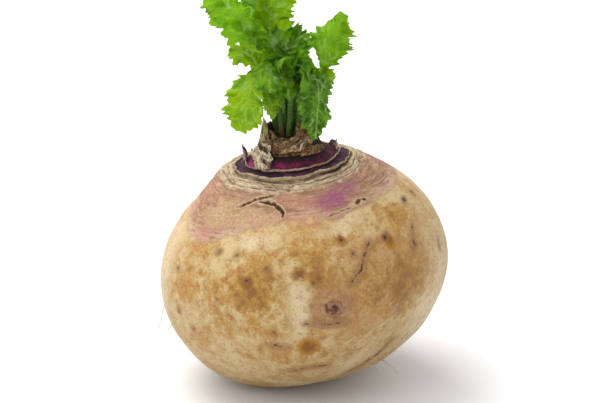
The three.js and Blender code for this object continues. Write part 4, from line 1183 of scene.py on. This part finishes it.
def buildStub():
    spin = np.radians(np.linspace(0, 360, 110, endpoint=False))[None, :]
    outward, inward = np.linspace(0, 1, 34), np.linspace(1, 1 - stub["hollow"], 22)[1:]
    level = np.concatenate([outward, inward])[:, None]
    inner = np.concatenate([0 * outward, np.linspace(0, 1, len(inward))])[:, None]
    circle = np.stack([np.cos(spin) + 0 * level, np.sin(spin) + 0 * level, level * 1.5 + 0 * spin], axis=-1)
    folds = 0.24 * np.sin(stub["lobes"] * spin + 2.6 * level) + 0.42 * grain(circle, 0.6, 101, 3)
    wide = stub["radius"] * mix(0.95, 1.12, level ** 2) * (1 + folds * smooth(level, 0, 0.7))
    wide = wide * mix(1, 0.78, smooth(inner, 0, 0.12)) * mix(1, 0.45, smooth(inner, 0.2, 1))
    radius, height = offNeck(np.array(stub["place"]), np.array(0.0))
    seat = slopedPoint(radius - 0.3, math.radians(stub["turn"]), height - 1.5)
    out = unit(neckPoint(1, math.radians(stub["turn"]), 0) - centre)
    ragged = 1 + 0.16 * np.sin(2 * spin + 1) + 0.3 * grain(circle * [1, 1, 0], 0.6, 102, 2)
    tall = level * stub["height"] * ragged
    sideways = np.cross(neckAxes[2], out)
    rows = seat + out * (wide * np.cos(spin) * 0.8 + tall * 0.12)[..., None]
    rows = rows + sideways * (wide * np.sin(spin))[..., None] + neckAxes[2] * tall[..., None]
    piece = closedLoft("dryStub_left", rows[::-1], rows[-1].mean(axis=0), rows[0].mean(axis=0))
    # fold is lower in the folds and inside the hollow, where the finish paints shade
    fold = np.minimum(folds * smooth(level, 0, 0.5), 0) * 1.5 - inner
    paint(piece, along=(level * (1 - inner) + 0 * spin)[::-1], across=(spin + 0 * level)[::-1],
          fold=fold[::-1])
    return piece


scaleTones = dict(
    tan=dict(light=(0.5, 0.34, 0.16), dark=(0.07, 0.028, 0.009)),
    brown=dict(light=(0.28, 0.15, 0.055), dark=(0.022, 0.008, 0.003)),
    olive=dict(light=(0.34, 0.32, 0.1), dark=(0.09, 0.06, 0.02)),
    purple=dict(light=(0.42, 0.33, 0.24), dark=(0.08, 0.025, 0.05)),
    cream=dict(light=(0.68, 0.58, 0.4), dark=(0.12, 0.065, 0.03)),
)


def scaleFinish(tone):
    shades = scaleTones[tone]
    material, start = newFinish("dryScale_" + tone)
    place = start.add("ShaderNodeTexCoord").out("Object")
    along, across, fold = (start.layer(name) for name in ("along", "across", "fold"))
    threads = start.add("ShaderNodeCombineXYZ", {}, across * mm, along * mm * 1.2, fold * mm)
    fibre = mottle(threads, 0.22, 3, 0.6, 21)
    cloud = mottle(place, 1.6, 3, 0.6, 22)
    fine = mottle(place, 0.35, 2, 0.6, 23)
    colour = (fibre * 0.65 + cloud * 0.35).rise(0.41, 0.6).between(shades["dark"], shades["light"])
    colour = colour.tint(shades["light"], along.rise(0.75, 1.0) * (1 - along.rise(1.0, 1.2)) * 0.5)
    # darker where fold is low: painted shade in the folds' hollows, on the strands' sides towards the neck
    # and inside the stub's hollow
    colour = colour.tint((0.02, 0.009, 0.005), fold.rise(0.0, -0.4) * 0.85)
    colour = colour.tint(shades["light"], fine.rise(0.6, 0.75) * 0.4)
    relief = fibre + fine * 0.4
    grainy = start.add("ShaderNodeBump", {}, Strength=0.7, Distance=0.2 * mm, Height=relief)
    rough = 0.72 + (fine - 0.5) * 0.2
    shader = start.add("ShaderNodeBsdfPrincipled", {}, Base_Color=colour, Roughness=rough, Normal=grainy,
                       Specular_IOR_Level=0.3)
    start.add("ShaderNodeOutputMaterial", {}, shader)
    return material


papery = {tone: scaleFinish(tone) for tone in scaleTones}
for number, scale in enumerate(scales):
    piece = buildScale(scale, number)
    piece.data.materials.append(papery[scale["tone"]])
    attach(piece, "root")
    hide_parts(scale["name"])
for number, strand in enumerate(strands):
    piece = buildStrand(strand, number)
    piece.data.materials.append(papery[strand["tone"]])
    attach(piece, "root")
    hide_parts("scale_front" if strand["turns"][0] < 0 else "scale_back")
stubPiece = buildStub()
stubPiece.data.materials.append(papery["cream"])
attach(stubPiece, "root")
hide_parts(stub["name"])
print("scales built")


# floor, lights and camera; the floor is painted darker near the turnip, painted shade round it, and fades
# into white farther out, painted light that makes up for the lamps' falloff
studio = dict(
    floorSide=8, nearTone=(0.74, 0.745, 0.76), farTone=(0.95, 0.95, 0.95),
    worldTone=(1.0, 1.0, 1.0), worldStrength=1.0,
)

floorMesh = bpy.data.meshes.new("floor")
side = studio["floorSide"] / 2
corners = [(-side, -side, 0), (side, -side, 0), (side, side, 0), (-side, side, 0)]
floorMesh.from_pydata(corners, [], [(0, 1, 2, 3)])
floor = bpy.data.objects.new("floor", floorMesh)
bpy.context.scene.collection.objects.link(floor)
floorPaint, start = newFinish("palePaper")
place = start.add("ShaderNodeTexCoord").out("Object")
away = start.add("ShaderNodeVectorMath", {"operation": "LENGTH"}, place).out("Value")
# painted shade near the turnip, painted light far off
paper = away.rise(0.3, 1.6).between(studio["nearTone"], studio["farTone"])
rough = 0.6 + mottle(place, 40, 2, 0.5, 31) * 0.1
shader = start.add("ShaderNodeBsdfPrincipled", {}, Base_Color=paper, Roughness=rough, Specular_IOR_Level=0.2)
start.add("ShaderNodeOutputMaterial", {}, shader)
floorMesh.materials.append(floorPaint)

world = bpy.data.worlds.new("studio")
world.use_nodes = True
world.node_tree.nodes["Background"].inputs["Color"].default_value = (*studio["worldTone"], 1)
world.node_tree.nodes["Background"].inputs["Strength"].default_value = studio["worldStrength"]
bpy.context.scene.world = world
bpy.context.scene.view_settings.view_transform = "Standard"

# where each lamp stands as turn, rise and distance in metres from the turnip's middle, its size and its power
lamps = [
    dict(name="key", turn=136, rise=60, distance=0.9, size=0.75, power=9, tone=(1, 0.985, 0.96)),
    dict(name="fill", turn=-135, rise=35, distance=1.1, size=0.7, power=2.5, tone=(1, 1, 1)),
]
lookAt = Vector(rootMiddle * mm)
for lamp in lamps:
    data = bpy.data.lights.new(lamp["name"], "AREA")
    data.size = lamp["size"]
    data.energy = lamp["power"]
    data.color = lamp["tone"]
    light = bpy.data.objects.new(lamp["name"], data)
    away = Vector(aim(lamp["turn"], lamp["rise"]))
    light.location = lookAt + away * lamp["distance"]
    light.rotation_euler = (-away).to_track_quat("-Z", "Y").to_euler()
    bpy.context.scene.collection.objects.link(light)

# `aside` and `above` are how far off the root's middle it aims, in millimetres
view = dict(lens=115, distance=0.6, elevation=18, aside=-1.2, above=14.8)
camera = bpy.data.objects.new("camera", bpy.data.cameras.new("camera"))
camera.data.lens = view["lens"]
tilt = math.radians(view["elevation"])
upward = Vector((0, math.sin(tilt), math.cos(tilt)))
target = lookAt + Vector((view["aside"] * mm, 0, 0)) + upward * view["above"] * mm
camera.location = target + Vector((0, -math.cos(tilt), math.sin(tilt))) * view["distance"]
camera.rotation_euler = (math.pi / 2 - tilt, 0, 0)
bpy.context.scene.collection.objects.link(camera)
bpy.context.scene.camera = camera
print("studio ready")
